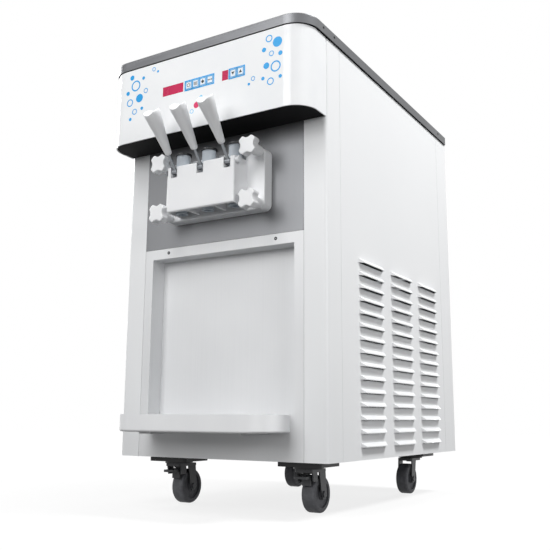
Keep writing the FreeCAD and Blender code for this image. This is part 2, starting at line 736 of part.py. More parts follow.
def lower_front_panel():
    p = Piece("lower_front_panel")
    edge = "(cabinet_width/2 - post_front - seam)"
    p.box((f"-{edge}", edge), ("front_plane", "front_plane + skin"), ("underside", "frame_line - seam"))
    p.box(
        ("-recess_half - skin", "recess_half + skin"),
        ("front_plane", "front_plane + recess_depth + skin"),
        ("recess_floor - skin", "recess_top + skin"),
    )
    p.box(
        ("-recess_half", "recess_half"),
        ("front_plane - past", "front_plane + recess_depth"),
        ("recess_floor", "recess_top"),
        cut=True,
    )
    for side in (-1, 1):
        p.box(
            (f"{side}*tongue_x - tongue_half", f"{side}*tongue_x + tongue_half"),
            ("front_plane - tongue_reach", "front_plane"),
            ("tray_bottom - tongue_thickness", "tray_bottom"),
        )
    return p.body


def header_fascia():
    p = Piece("header_fascia")
    p.box(
        (f"-{HALF}", HALF),
        ("front_plane - header_reach", "front_plane"),
        (HEADER_LOW, "cabinet_top"),
    )
    DOC.recompute()
    front = p.body.Shape.BoundBox.YMin
    p.fillet("header_radius", lambda e: upright_edge(e) and e.CenterOfMass.y < front + 1)
    p.shell("header_wall", lambda f: abs(f.normalAt(0, 0).z) > 0.99 or facing(f, 0, 1, 0))
    face = ("front_plane - header_reach - past", "front_plane - header_reach + header_wall + past")
    for middle in key_places().values():
        p.box(
            (f"{middle} - key_width/2 - key_gap", f"{middle} + key_width/2 + key_gap"),
            face,
            ("key_row - key_height/2 - key_gap", "key_row + key_height/2 + key_gap"),
            cut=True,
        )
    for middle, wide in (("window_x", "window_wide"), ("window_small_x", "window_small")):
        p.box(
            (f"{middle} - {wide}/2", f"{middle} + {wide}/2"),
            (face[0], "front_plane - header_reach + window_depth"),
            ("key_row - window_height/2", "key_row + window_height/2"),
            cut=True,
        )
    return p.body


def key_places():
    four = [f"key_middle + {step}*key_pitch" for step in (-1.5, -0.5, 0.5, 1.5)]
    two = [f"pair_middle + {step}*key_pitch" for step in (-0.5, 0.5)]
    names = ("first_key", "second_key", "third_key", "fourth_key", "down_key", "up_key")
    return dict(zip(names, four + two))


def control_key(name, middle):
    p = Piece(name)
    face = "front_plane - header_reach - key_proud"
    p.box(
        (f"{middle} - key_width/2", f"{middle} + key_width/2"),
        (face, f"{face} + key_depth"),
        ("key_row - key_height/2", "key_row + key_height/2"),
    )
    DOC.recompute()
    p.fillet("key_corner", lambda e: abs(e.tangentAt(e.FirstParameter).y) > 0.99)
    return p.body


def display_windows():
    panes = []
    for name, middle, wide in (
        ("large_window", "window_x", "window_wide"),
        ("small_window", "window_small_x", "window_small"),
    ):
        p = Piece(name)
        p.box(
            (f"{middle} - {wide}/2 + seal_gap", f"{middle} + {wide}/2 - seal_gap"),
            ("front_plane - header_reach", "front_plane - header_reach + window_depth"),
            ("key_row - window_height/2 + seal_gap", "key_row + window_height/2 - seal_gap"),
        )
        panes.append(p)
    return together("display_windows", panes)


def header_soffit():
    p = Piece("header_soffit")
    half = "(cabinet_width/2 - header_wall - soffit_gap)"
    p.box(
        (f"-{half}", half),
        ("front_plane - header_reach + header_wall + soffit_gap", "front_plane"),
        (f"{HEADER_LOW} + header_edge", f"{HEADER_LOW} + header_edge + soffit"),
    )
    DOC.recompute()
    front = p.body.Shape.BoundBox.YMin
    p.fillet(
        "header_radius - header_wall - soffit_gap",
        lambda e: upright_edge(e) and e.CenterOfMass.y < front + 1,
    )
    return p.body


def top_panel():
    p = Piece("top_panel")
    half = "(cabinet_width/2 + rim_lap)"
    p.box(
        (f"-{half}", half),
        ("front_plane - header_reach - rim_lap/2", f"{REAR} + rim_lap"),
        ("cabinet_top + rim_gap", TOP),
    )
    DOC.recompute()
    whole = p.body.Shape.BoundBox
    p.fillet("header_radius + rim_lap", lambda e: upright_edge(e) and e.CenterOfMass.y < whole.YMin + 1)
    p.fillet("post_radius", lambda e: upright_edge(e) and e.CenterOfMass.y > whole.YMax - 1)
    p.fillet("rim_edge", lambda e: level(e, whole.ZMax))
    p.shell("rim_wall", lambda f: facing(f, 0, 0, -1))
    for side in (-1, 1):
        p.box(
            (f"{side}*hopper_x - hopper_half - hopper_gap", f"{side}*hopper_x + hopper_half + hopper_gap"),
            (
                "front_plane + hopper_front - hopper_gap",
                "front_plane + hopper_front + hopper_length + hopper_gap",
            ),
            (f"{TOP} - 2*rim_wall", f"{TOP} + past"),
            cut=True,
        )
    seam = "front_plane + hopper_front + hopper_length + hopper_rim + deck_back"
    p.box(
        (f"-{half} - past", f"{half} + past"),
        (seam, f"{seam} + deck_seam"),
        (f"{TOP} - deck_seam_depth", f"{TOP} + past"),
        cut=True,
    )
    return p.body


def hoppers():
    tubs = []
    for name, side in (("left_hopper", -1), ("right_hopper", 1)):
        p = Piece(name)
        across = (f"{side}*hopper_x - hopper_half", f"{side}*hopper_x + hopper_half")
        deep = ("front_plane + hopper_front", "front_plane + hopper_front + hopper_length")
        p.box(across, deep, (HOPPER_FLOOR, RIM_TOP))
        p.fillet("hopper_round", upright_edge)
        floor = p.body.Shape.BoundBox.ZMin
        p.fillet("hopper_bend", lambda e: level(e, floor))
        p.shell("hopper_wall", lambda f: facing(f, 0, 0, 1))
        rim = (TOP, RIM_TOP)
        wide = (f"{across[0]} - hopper_rim", f"{across[1]} + hopper_rim")
        for ends in ((f"{deep[0]} - hopper_rim", deep[0]), (deep[1], f"{deep[1]} + hopper_rim")):
            p.box(wide, ends, rim)
        for ends in ((wide[0], across[0]), (across[1], wide[1])):
            p.box(ends, deep, rim)
        stub_top = "(barrel_height + barrel_outer + inlet_rise)"
        middle = f"{side}*barrel_x"
        p.rod("inlet_outer", f"{HOPPER_FLOOR} + hopper_wall - {stub_top}", middle, INLET_Y, stub_top)
        p.rod(
            "inlet_bore", f"{HOPPER_FLOOR} + hopper_wall - {stub_top} + 2*past",
            middle, INLET_Y, f"{stub_top} - past", cut=True,
        )
        tubs.append(p)
    return together("hoppers", tubs)


def hopper_lid(name, side):
    p = Piece(name)
    reach = "(hopper_rim - lid_inset)"
    across = (f"{side}*hopper_x - hopper_half - {reach}", f"{side}*hopper_x + hopper_half + {reach}")
    deep = (
        f"front_plane + hopper_front - {reach}",
        f"front_plane + hopper_front + hopper_length + {reach}",
    )
    p.box(across, deep, (RIM_TOP, f"{RIM_TOP} + lid_height"))
    p.fillet("lid_round", upright_edge)
    top = p.body.Shape.BoundBox.ZMax
    p.fillet("lid_edge", lambda e: level(e, top))
    p.shell("lid_wall", lambda f: facing(f, 0, 0, -1))
    middle = "front_plane + hopper_front + hopper_length/2"
    p.box(
        (f"{side}*hopper_x - lid_grip_length/2", f"{side}*hopper_x + lid_grip_length/2"),
        (f"{middle} - lid_grip_width/2", f"{middle} + lid_grip_width/2"),
        (f"{RIM_TOP} + lid_height - lid_wall", f"{RIM_TOP} + lid_height + lid_grip_height"),
    )
    p.fillet("lid_grip_round", lambda e: e.BoundBox.ZMax > top + 1 and e.Curve.TypeId == "Part::GeomLine")
    return p.body


def mix_feed_tubes():
    tubes = []
    for name, side in (("left_feed_tube", -1), ("right_feed_tube", 1)):
        p = Piece(name)
        middle = f"{side}*barrel_x"
        low = f"{HOPPER_FLOOR} + hopper_wall - feed_below"
        tube = f"({TOP} - feed_above - ({low}))"
        p.rod("feed_radius", tube, middle, INLET_Y, low)
        p.rod("feed_collar", "feed_collar_height", middle, INLET_Y, f"{HOPPER_FLOOR} + hopper_wall")
        p.rod("feed_bore", f"{tube} + 2*past", middle, INLET_Y, f"{low} - past", cut=True)
        tubes.append(p)
    return together("mix_feed_tubes", tubes)


def freezing_barrels():
    p = Piece("freezing_barrels")
    p.box(
        ("-face_half", "face_half"),
        ("front_plane + skin", PLATE),
        ("barrel_height - face_rise", "barrel_height + face_rise"),
    )
    for side in (-1, 1):
        middle = f"{side}*barrel_x"
        p.rod(
            "barrel_outer", "barrel_length + face_plate/2",
            middle, f"{PLATE} - face_plate/2", "barrel_height", "y",
        )
        p.rod("inlet_outer", "barrel_outer + inlet_rise", middle, INLET_Y, "barrel_height")
        for row in (-1, 1):
            p.rod(
                "stud_radius", "stud_reach + skin + face_plate/2",
                f"{side}*knob_x", "front_plane - stud_reach", f"barrel_height + {row}*knob_rise", "y",
            )
    for side in (-1, 1):
        middle = f"{side}*barrel_x"
        p.rod("inlet_bore", "barrel_outer + inlet_rise + past", middle, INLET_Y, "barrel_height", cut=True)
        p.rod(
            "barrel_bore", "face_plate + barrel_length - barrel_back + past",
            middle, "front_plane + skin - past", "barrel_height", "y", cut=True,
        )
        p.rod(
            "shaft_radius + pin_fit", "barrel_back + 2*past",
            middle, f"{BARREL_END} - barrel_back - past", "barrel_height", "y", cut=True,
        )
    return p.body


def dispensing_door():
    p = Piece("dispensing_door")
    p.box(
        ("-flange_half", "flange_half"),
        (FLANGE_FACE, "front_plane"),
        ("barrel_height - flange_down", "barrel_height + flange_up"),
    )
    DOC.recompute()
    face = p.body.Shape.BoundBox.YMin
    p.fillet("flange_radius", lambda e: abs(e.tangentAt(e.FirstParameter).y) > 0.99)
    p.fillet("door_edge", lambda e: e.BoundBox.YMax < face + 0.01)
    p.box(
        ("-block_half", "block_half"),
        (BLOCK_FACE, f"{FLANGE_FACE} + door_edge"),
        (BLOCK_LOW, BLOCK_HIGH),
    )
    DOC.recompute()
    front = p.body.Shape.BoundBox.YMin
    p.fillet("block_edge", lambda e: e.BoundBox.YMin < front + 0.01 and e.BoundBox.YMax < face - 1)
    rows = [f"{step}*valve_pitch" for step in (-1, 0, 1)]
    outlets(p, rows)
    for side in (-1, 1):
        middle = f"{side}*barrel_x"
        p.rod("plug_radius", "plug_step + past", middle, "front_plane - past", "barrel_height", "y")
        p.rod("plug_neck", "3*plug_step", middle, "front_plane", "barrel_height", "y")
        p.rod("plug_radius", "plug_step", middle, "front_plane + 2*plug_step", "barrel_height", "y")
    valve_bores(p, rows)
    for side in (-1, 1):
        p.rod(
            "port_radius", "valve_back + 3*plug_step + past",
            f"{side}*valve_pitch", VALVE_Y, f"{BLOCK_LOW} + port_rise", "y", cut=True,
        )
        p.rod(
            "cross_radius", "flange_thickness + 3*plug_step",
            f"{side}*cross_x", f"{FLANGE_FACE} + past", f"{BLOCK_LOW} + cross_rise", "y", cut=True,
        )
        for row in (-1, 1):
            p.rod(
                "stud_hole", "flange_thickness + 2*past",
                f"{side}*knob_x", f"{FLANGE_FACE} - past", f"barrel_height + {row}*knob_rise", "y", cut=True,
            )
    p.box(
        ("-mix_half", "mix_half"),
        (f"{VALVE_Y} - mix_front", f"{FLANGE_FACE} + flange_thickness/2"),
        (f"{BLOCK_LOW} + mix_low", f"{BLOCK_LOW} + mix_high"),
        cut=True,
    )
    p.rod(
        "pin_radius + pin_fit", "2*(block_half + past)", "-block_half - past", PIVOT_Y, PIVOT_Z, "x", cut=True,
    )
    return p.body


def outlets(p, rows):
    """A pocket in the underside round each spout, with a rib between neighbours."""
    spout = "(nose_radius + valve_clearance + spout_wall)"
    ceiling = f"({BLOCK_LOW} + outlet_ceiling)"
    rib = "valve_pitch/2"
    edges = ("-block_half + outlet_wall", f"-{rib}", rib, "block_half - outlet_wall")
    for place in range(len(rows)):
        left = edges[place] if place == 0 else f"{edges[place]} + outlet_rib"
        right = edges[place + 1] if place == len(rows) - 1 else f"{edges[place + 1]} - outlet_rib"
        p.box(
            (left, right),
            (f"{BLOCK_FACE} + outlet_front", f"{FLANGE_FACE} - outlet_back"),
            (f"{BLOCK_LOW} - past", ceiling),
            cut=True,
        )
    for middle in rows:
        p.rod(spout, f"{ceiling} + past - {SPOUT_LOW}", middle, VALVE_Y, SPOUT_LOW)


def valve_bores(p, rows):
    """A stepped bore for each draw valve, with a slot in front for its lever."""
    seat = f"({BLOCK_LOW} + valve_foot + nose_length - valve_clearance)"
    for middle in rows:
        p.rod(
            "nose_radius + valve_clearance", f"{seat} - {SPOUT_LOW} + 2*past",
            middle, VALVE_Y, f"{SPOUT_LOW} - past", cut=True,
        )
        p.rod(
            "valve_radius + valve_clearance", f"{BLOCK_HIGH} - {seat} + past",
            middle, VALVE_Y, seat, cut=True,
        )
        p.box(
            (f"{middle} - slot_half", f"{middle} + slot_half"),
            (f"{BLOCK_FACE} - past", VALVE_Y),
            (f"{BLOCK_HIGH} - slot_depth", f"{BLOCK_HIGH} + past"),
            cut=True,
        )


def door_seals():
    rings = []
    for name, side in (("left_seal", -1), ("right_seal", 1)):
        p = Piece(name)
        middle = f"{side}*barrel_x"
        begin = "front_plane + plug_step + seal_gap"
        wide = "plug_step - 2*seal_gap"
        p.rod("barrel_bore - seal_gap", wide, middle, begin, "barrel_height", "y")
        p.rod(
            "plug_neck + seal_gap", "plug_step + 2*past",
            middle, "front_plane + plug_step - past", "barrel_height", "y", cut=True,
        )
        rings.append(p)
    return together("door_seals", rings)


def star_knob(name, side, row):
    p = Piece(name)
    p.cone("star_low", "star_high", "star_shank + past", "0", "0", "0")
    p.rod("star_reach", "star_thickness", "0", "0", "star_shank")
    scoop = p.rod("star_scoop", "star_thickness + 2*past", "star_scoop_x", "0", "star_shank", cut=True)
    p.round_pattern([scoop], 4)
    DOC.recompute()
    top = p.body.Shape.BoundBox.ZMax
    p.fillet("star_tip", lambda e: upright_edge(e) and e.CenterOfMass.z > top / 2)
    p.fillet("star_edge", lambda e: level(e, top))
    p.rod("stud_radius + pin_fit", "star_socket + past", "0", "0", "-past", cut=True)
    p.stand(
        f"{side}*knob_x", f"{FLANGE_FACE} - star_gap", f"barrel_height + {row}*knob_rise",
        Rotation(Vector(1, 0, 0), 90),
    )
    return p.body


def handle_lever(name, step):
    p = Piece(name)
    p.rod("boss_radius", "2*boss_half", "-boss_half", "0", "0", "x")
    rod = p.rod("rod_radius", "grip_start + grip_socket", "0", "0", "0", turn=Rotation(Vector(1, 0, 0), 1))
    drive(rod, **{"Placement.Rotation.Angle": "lever_tilt"})
    arm = p.rod("arm_radius", "arm_length", "0", "0", "0", turn=Rotation(Vector(-1, 0, 0), 1))
    drive(arm, **{"Placement.Rotation.Angle": "90 + arm_angle"})
    p.ball("ball_radius", "0", "arm_length*cos(arm_angle*1deg)", "-arm_length*sin(arm_angle*1deg)")
    p.rod("pin_radius + pin_fit", "2*(boss_half + past)", "-boss_half - past", "0", "0", "x", cut=True)
    p.stand(f"{step}*valve_pitch", PIVOT_Y, PIVOT_Z)
    return p.body


def handle_grip(name, step):
    """A grip that widens evenly to a rounded rim with a saddle across it."""
    p = Piece(name)
    top = "grip_start + grip_length"
    swell = ((0.012, -0.12), (0.035, -0.02), (0.5, 0.46), (0.88, 0.96))
    shares = swell + ((0.95, 1), (0.985, 0.97), (1, 0.86))
    wall = [
        (f"grip_low + {part}*(grip_high - grip_low)", f"grip_start + {along}*grip_length")
        for along, part in shares
    ]
    p.spin("XZ_Plane", [("0", "grip_start"), ("grip_low - grip_edge", "grip_start")] + wall + [("0", top)])
    p.rod(
        "saddle_radius", "4*grip_high",
        "0", "-2*grip_high", f"{top} + saddle_radius - saddle_depth", "y", cut=True,
    )
    p.rod("rod_radius + pin_fit", "grip_socket + past", "0", "0", "grip_start - past", cut=True)
    p.tilt("lever_tilt")
    p.stand(f"{step}*valve_pitch", PIVOT_Y, PIVOT_Z)
    return p.body


def draw_valve(name, step):
    p = Piece(name)
    foot = f"({BLOCK_LOW} + valve_foot)"
    top = "(barrel_height + valve_top)"
    deep = "(valve_radius - valve_groove)"
    shoulder = f"({foot} + nose_length)"
    rings = [f"{shoulder} + 2*valve_groove_wide", f"{shoulder} + 7*valve_groove_wide"]
    profile = [("0", foot), ("nose_radius", foot), ("nose_radius", shoulder), ("valve_radius", shoulder)]
    for low in rings:
        profile += [
            ("valve_radius", low),
            (deep, low),
            (deep, f"{low} + valve_groove_wide"),
            ("valve_radius", f"{low} + valve_groove_wide"),
        ]
    profile += [
        ("valve_radius", f"{top} - collar_height"),
        ("collar_radius", f"{top} - collar_height"),
        ("collar_radius", top),
        ("0", top),
    ]
    p.spin("XZ_Plane", profile)
    ball_z = f"({PIVOT_Z} - arm_length*sin(arm_angle*1deg))"
    p.box(
        ("-ball_radius - ball_gap", "ball_radius + ball_gap"),
        ("-valve_radius - past", "arm_length + ball_radius + ball_gap + valve_back - pivot_front"),
        (f"{ball_z} - ball_radius - ball_gap", f"{ball_z} + ball_radius + ball_gap"),
        cut=True,
    )
    p.stand(f"{step}*valve_pitch", VALVE_Y, "0")
    return p.body


def lever_pivot_pin():
    p = Piece("lever_pivot_pin")
    left = "(-block_half - pin_side - pin_head_height)"
    right = "(block_half + pin_side)"
    p.rod("pin_radius", f"{right} + past - {left}", left, PIVOT_Y, PIVOT_Z, "x")
    p.rod("pin_head", "pin_head_height", left, PIVOT_Y, PIVOT_Z, "x")
    p.cone("pin_neck", "pin_knob", "pin_knob_length", right, PIVOT_Y, PIVOT_Z, "x")
    p.rod("pin_knob", "pin_knob_end", f"{right} + pin_knob_length", PIVOT_Y, PIVOT_Z, "x")
    return p.body


def nozzle_caps():
    caps = []
    for name, step in (("left_cap", -1), ("middle_cap", 0), ("right_cap", 1)):
        p = Piece(name)
        p.rod("nose_radius + valve_clearance + spout_wall", "cap_height", "0", "0", "0")
        p.rod("star_core", "cap_height + 2*past", "0", "0", "-past", cut=True)
        tooth = p.box(
            ("0", "nose_radius"),
            ("-star_tooth/2", "star_tooth/2"),
            ("-past", "cap_height + past"),
            cut=True,
        )
        p.round_pattern([tooth], 6)
        p.stand(f"{step}*valve_pitch", VALVE_Y, f"{BLOCK_LOW} + cap_lift")
        caps.append(p)
    return together("nozzle_caps", caps)


def drip_tray():
    p = Piece("drip_tray")
    p.box(
        ("-tray_half", "tray_half"),
        ("front_plane - tray_reach", "front_plane"),
        ("tray_bottom", "tray_bottom + tray_height"),
    )
    DOC.recompute()
    whole = p.body.Shape.BoundBox
    p.fillet("tray_radius", lambda e: upright_edge(e) and e.CenterOfMass.y < whole.YMin + 1)
    p.fillet("tray_edge", lambda e: level(e, whole.ZMin) and e.BoundBox.YMin < whole.YMax - 1)
    p.shell("tray_wall", lambda f: facing(f, 0, 0, 1))
    rest = "tray_height - tray_wall - grid_drop - grid_thickness + past"
    for side in (-1, 1):
        for deep in ("front_plane - tray_reach/4", "front_plane - tray_reach*3/4"):
            p.rod("pillar_radius", rest, f"{side}*pillar_x", deep, "tray_bottom + tray_wall - past")
    return p.body


def drip_grid():
    p = Piece("drip_grid")
    inset = "(tray_wall + grid_gap)"
    top = "tray_bottom + tray_height - grid_drop"
    p.box(
        (f"-tray_half + {inset}", f"tray_half - {inset}"),
        (f"front_plane - tray_reach + {inset}", f"front_plane - {inset}"),
        (f"{top} - grid_thickness", top),
    )
    DOC.recompute()
    front = p.body.Shape.BoundBox.YMin
    p.fillet(f"tray_radius - {inset}", lambda e: upright_edge(e) and e.CenterOfMass.y < front + 1)
    slot = p.box(
        ("-grid_first", "-grid_first + grid_slot"),
        ("front_plane - grid_front", "front_plane - grid_front + grid_slot_length"),
        (f"{top} - grid_thickness - past", f"{top} + past"),
        cut=True,
    )
    p.rows([slot], ("X_Axis", "grid_pitch", 15), ("Y_Axis", "grid_row", 2))
    return p.body


def caster_base(name, side, end):
    p = Piece(name)
    under = "(underside - plate_thick)"
    p.box(("-plate_long/2", "plate_long/2"), ("-plate_wide/2", "plate_wide/2"), (under, "underside"))
    p.fillet("plate_round", upright_edge)
    p.rod("race_radius", "race_height + past", "0", "0", f"{under} - race_height")
    shank = "(race_height + 2*race_gap + crown_thick + kingpin_head_height)"
    p.rod("kingpin", shank, "0", "0", f"{under} - {shank}")
    p.rod("kingpin_head", "kingpin_head_height", "0", "0", f"{under} - {shank}")
    place_caster(p, side, end)
    return p


def place_caster(p, side, end):
    """Front casters trail backward and rear ones trail forward."""
    along = "front_plane + caster_in" if end < 0 else f"{REAR} - caster_in"
    p.stand(f"{side}*caster_x", along, "0", None if end < 0 else Rotation(Vector(0, 0, 1), 180))


def caster_fork(name, side, end):
    p = Piece(name)
    low = f"{CROWN_TOP} - crown_thick"
    outer = "(fork_inner + fork_leg)"
    p.box((f"-{outer}", outer), ("-fork_front", "fork_back"), (low, CROWN_TOP))
    p.fillet("fork_round", upright_edge)
    for start in (f"-{outer}", "fork_inner"):
        p.pad(
            "YZ_Plane",
            [
                ("fork_back - fork_round - fork_leg_width", f"{CROWN_TOP} - past"),
                ("fork_back - fork_round", f"{CROWN_TOP} - past"),
                ("caster_trail + axle_boss", "wheel_radius"),
                ("caster_trail + axle_boss/2", "wheel_radius - axle_boss*cos(30deg)"),
                ("caster_trail - axle_boss/2", "wheel_radius - axle_boss*cos(30deg)"),
                ("caster_trail - axle_boss", "wheel_radius"),
            ],
            "fork_leg",
            start,
        )
    p.rod("kingpin + pin_fit", "crown_thick + 2*past", "0", "0", f"{low} - past", cut=True)
    reach = f"({outer} + axle_nut_height)"
    p.rod("axle_radius", f"2*{reach}", f"-{reach}", "caster_trail", "wheel_radius", "x")
    for start in (f"-{reach}", outer):
        p.rod("axle_nut", "axle_nut_height", start, "caster_trail", "wheel_radius", "x")
    if end < 0:
        for start in (f"-{outer}", "fork_inner"):
            p.pad(
                "YZ_Plane",
                [
                    ("-fork_front + fork_round", f"{CROWN_TOP} - past"),
                    ("pedal_y + pedal_ear", f"{CROWN_TOP} - past"),
                    ("pedal_y + pedal_ear", "pedal_z - pedal_ear"),
                    ("pedal_y - pedal_ear", "pedal_z - pedal_ear"),
                ],
                "fork_leg",
                start,
            )
        for start in (f"-{outer} - past", "fork_inner - past"):
            p.rod("pedal_pin + pin_fit", "fork_leg + 2*past", start, "pedal_y", "pedal_z", "x", cut=True)
    place_caster(p, side, end)
    return p.body


def caster_wheel(name, side, end):
    p = Piece(name)
    p.rod("wheel_radius", "2*wheel_half", "-wheel_half", "0", "0", "x")
    p.fillet("wheel_round", lambda e: e.Curve.TypeId == "Part::GeomCircle")
    for start in ("wheel_half - wheel_dish_depth", "-wheel_half - past"):
        p.rod("wheel_dish", "wheel_dish_depth + past", start, "0", "0", "x", cut=True)
    hub = "(wheel_half + hub_proud)"
    p.rod("wheel_hub", f"2*{hub}", f"-{hub}", "0", "0", "x")
    p.rod("axle_radius + pin_fit", f"2*({hub} + past)", f"-{hub} - past", "0", "0", "x", cut=True)
    along = "front_plane + caster_in + caster_trail"
    if end > 0:
        along = f"{REAR} - caster_in - caster_trail"
    p.stand(f"{side}*caster_x", along, "wheel_radius")
    return p.body


def brake_pedal(name, side):
    p = Piece(name)
    p.rod("pedal_pin", "2*(fork_inner + fork_leg)", "-fork_inner - fork_leg", "0", "0", "x")
    p.rod("pedal_barrel", "2*pedal_half", "-pedal_half", "0", "0", "x")
    p.box(("-pedal_half", "pedal_half"), ("-pedal_reach", "0"), ("-pedal_thick/2", "pedal_thick/2"))
    p.fillet("pedal_round", lambda e: upright_edge(e) and e.CenterOfMass.y < -size("pedal_reach") / 2)
    p.box(("-shoe_half", "shoe_half"), ("-pedal_thick", "-past"), ("-pedal_shoe", "0"))
    p.stand(f"{side}*caster_x", "front_plane + caster_in + pedal_y", "pedal_z")
    return p.body


def beater(name, side):
    p = Piece(name)
    start = "(3*plug_step + beater_clear - skin - face_plate)"
    length = f"(barrel_length - barrel_back - beater_clear - {start})"
    p.rod("shaft_radius", f"barrel_length + shaft_reach - {start}", "0", "0", start)
    sketch = p.outline(
        "XZ_Plane",
        [
            ("shaft_radius*0.6", start),
            ("beater_radius", start),
            ("beater_radius", f"{start} + beater_blade"),
            ("shaft_radius*0.6", f"{start} + beater_blade"),
        ],
    )
    flight = p.feature("AdditiveHelix")
    flight.Profile = sketch
    flight.ReferenceAxis = (sketch, ["V_Axis"])
    flight.Mode = "pitch-height-angle"
    drive(flight, Pitch="beater_pitch", Height=f"{length} - beater_blade")
    flight.LeftHanded = side > 0
    p.stand(f"{side}*barrel_x", PLATE, "barrel_height", Rotation(Vector(1, 0, 0), -90))
    return p.body


def gear_motors():
    drives = []
    for name, side in (("left_gear_motor", -1), ("right_gear_motor", 1)):
        p = Piece(name)
        middle = f"{side}*barrel_x"
        deep = (BARREL_END, f"{BARREL_END} + gear_length")
        p.box(
            (f"{middle} - gear_half", f"{middle} + gear_half"),
            deep,
            (f"{SHELF} + pan_thickness", "barrel_height + gear_half"),
        )
        axis = size("barrel_height")
        p.fillet(
            "gear_round",
            lambda e: abs(e.tangentAt(e.FirstParameter).y) > 0.99 and e.CenterOfMass.z > axis,
        )
        p.rod("motor_radius", "motor_length + past", middle, f"{deep[1]} - past", "barrel_height", "y")
        DOC.recompute()
        rear = p.body.Shape.BoundBox.YMax
        p.fillet("motor_round", lambda e: e.BoundBox.YMin > rear - 0.01)
        p.rod(
            "shaft_radius + pin_fit", "shaft_socket + past",
            middle, f"{BARREL_END} - past", "barrel_height", "y", cut=True,
        )
        drives.append(p)
    return together("gear_motors", drives)


def compressor():
    p = Piece("compressor")
    floor = "underside + pan_thickness"
    along = "front_plane + compressor_back"
    p.rod("compressor_radius", "compressor_height", COMPRESSOR_X, along, f"{floor} + compressor_foot")
    p.fillet("compressor_round", lambda e: e.Curve.TypeId == "Part::GeomCircle")
    p.box(
        (f"{COMPRESSOR_X} - compressor_radius", f"{COMPRESSOR_X} + compressor_radius"),
        (f"{along} - compressor_radius", f"{along} + compressor_radius"),
        (f"{floor} + compressor_foot", f"{floor} + compressor_foot + compressor_plate"),
    )
    for side in (-1, 1):
        for end in (-1, 1):
            p.rod(
                "foot_radius", "compressor_foot + past",
                f"{COMPRESSOR_X} + {side}*foot_spot", f"{along} + {end}*foot_spot", floor,
            )
    return p.body


def condenser():
    p = Piece("condenser")
    floor = "underside + pan_thickness"
    across = (f"{CONDENSER_X} - condenser_thick/2", f"{CONDENSER_X} + condenser_thick/2")
    deep = ("front_plane + condenser_front", "front_plane + condenser_front + condenser_length")
    tall = (floor, f"{floor} + condenser_height")
    p.box(across, deep, tall)
    fin = p.box(
        (f"{across[0]} - past", f"{across[1]} + past"),
        (f"{deep[0]} + fin_margin", f"{deep[0]} + fin_margin + fin_gap"),
        (f"{floor} + fin_end", f"{floor} + condenser_height - fin_end"),
        cut=True,
    )
    p.rows([fin], ("Y_Axis", "fin_pitch", 20))
    inner = f"{across[0]} - shroud_depth"
    middle = "front_plane + condenser_front + condenser_length/2"
    centre = f"{floor} + condenser_height/2"
    p.box((inner, across[0]), deep, tall)
    p.rod("fan_radius + fan_gap", "shroud_depth + past", f"{inner} - past", middle, centre, "x", cut=True)
    p.rod("fan_motor", "fan_motor_length - fan_motor_gap", f"{inner} - fan_motor_length", middle, centre, "x")
    back = f"{inner} - bracket_off - bracket_thick"
    for end in (-1, 1):
        height = f"({centre} + {end}*bracket_rise)"
        p.box(
            (back, f"{inner} - bracket_off"),
            (f"{deep[0]} + bracket_in", f"{deep[1]} - bracket_in"),
            (f"{height} - bracket_half", f"{height} + bracket_half"),
        )
        for post in (f"{deep[0]} + bracket_in + bracket_half", f"{deep[1]} - bracket_in - bracket_half"):
            p.rod("bracket_half", "bracket_off + bracket_thick", back, post, height, "x")
    p.rod("fan_shaft", "fan_shaft_length", f"{inner} - fan_shaft_back", middle, centre, "x")
    return p.body


def condenser_fan():
    p = Piece("condenser_fan")
    p.rod("fan_hub", "fan_hub_length", "0", "0", "0")
    blade = p.feature("AdditiveBox")
    blade.Placement = Placement(Vector(), Rotation(Vector(1, 0, 0), 32))
    drive(blade, Length="fan_radius - blade_root - blade_tip", Width="blade_width", Height="blade_thick")
    put(blade, "blade_root", "-blade_side", "blade_lift")
    p.round_pattern([blade], 5)
    p.rod("fan_shaft + pin_fit", "fan_hub_bore + past", "0", "0", "-past", cut=True)
    p.stand(
        f"{CONDENSER_X} - condenser_thick/2 - shroud_depth + fan_hub_in",
        "front_plane + condenser_front + condenser_length/2",
        "underside + pan_thickness + condenser_height/2",
        ALONG["x"],
    )
    return p.body


def control_box():
    p = Piece("control_box")
    floor = f"{SHELF} + pan_thickness"
    across = (CONTROL_X, f"{CONTROL_X} + control_width")
    deep = ("front_plane + control_back", "front_plane + control_back + control_depth")
    p.box(across, deep, (floor, f"{floor} + control_height"))
    p.fillet("control_round", upright_edge)
    p.box(
        (f"{across[0]} - control_lap", f"{across[1]} + control_lap"),
        (f"{deep[0]} - control_lap", f"{deep[1]} + control_lap"),
        (f"{floor} + control_height - control_cover", f"{floor} + control_height + control_cover_top"),
    )
    return p.body


def cord_gland():
    p = Piece("cord_gland")
    inside = f"({REAR} - skin - gland_in)"
    p.rod("gland_thread", "gland_in + skin + gland_out/2", "gland_x", inside, "gland_z", "y")
    p.rod("gland_nut", "gland_locknut", "gland_x", f"{REAR} - skin - gland_locknut", "gland_z", "y")
    p.rod("gland_nut", "gland_hex", "gland_x", REAR, "gland_z", "y")
    p.cone(
        "gland_dome", "gland_mouth", "gland_out - gland_hex",
        "gland_x", f"{REAR} + gland_hex", "gland_z", "y",
    )
    p.rod(
        "gland_bore", "gland_in + skin + gland_out + 2*past",
        "gland_x", f"{inside} - past", "gland_z", "y", cut=True,
    )
    return p.body


ENDS = [
    ("front_left", -1, -1),
    ("front_right", 1, -1),
    ("rear_left", -1, 1),
    ("rear_right", 1, 1),
]
PLACES = (("left", -1), ("middle", 0), ("right", 1))

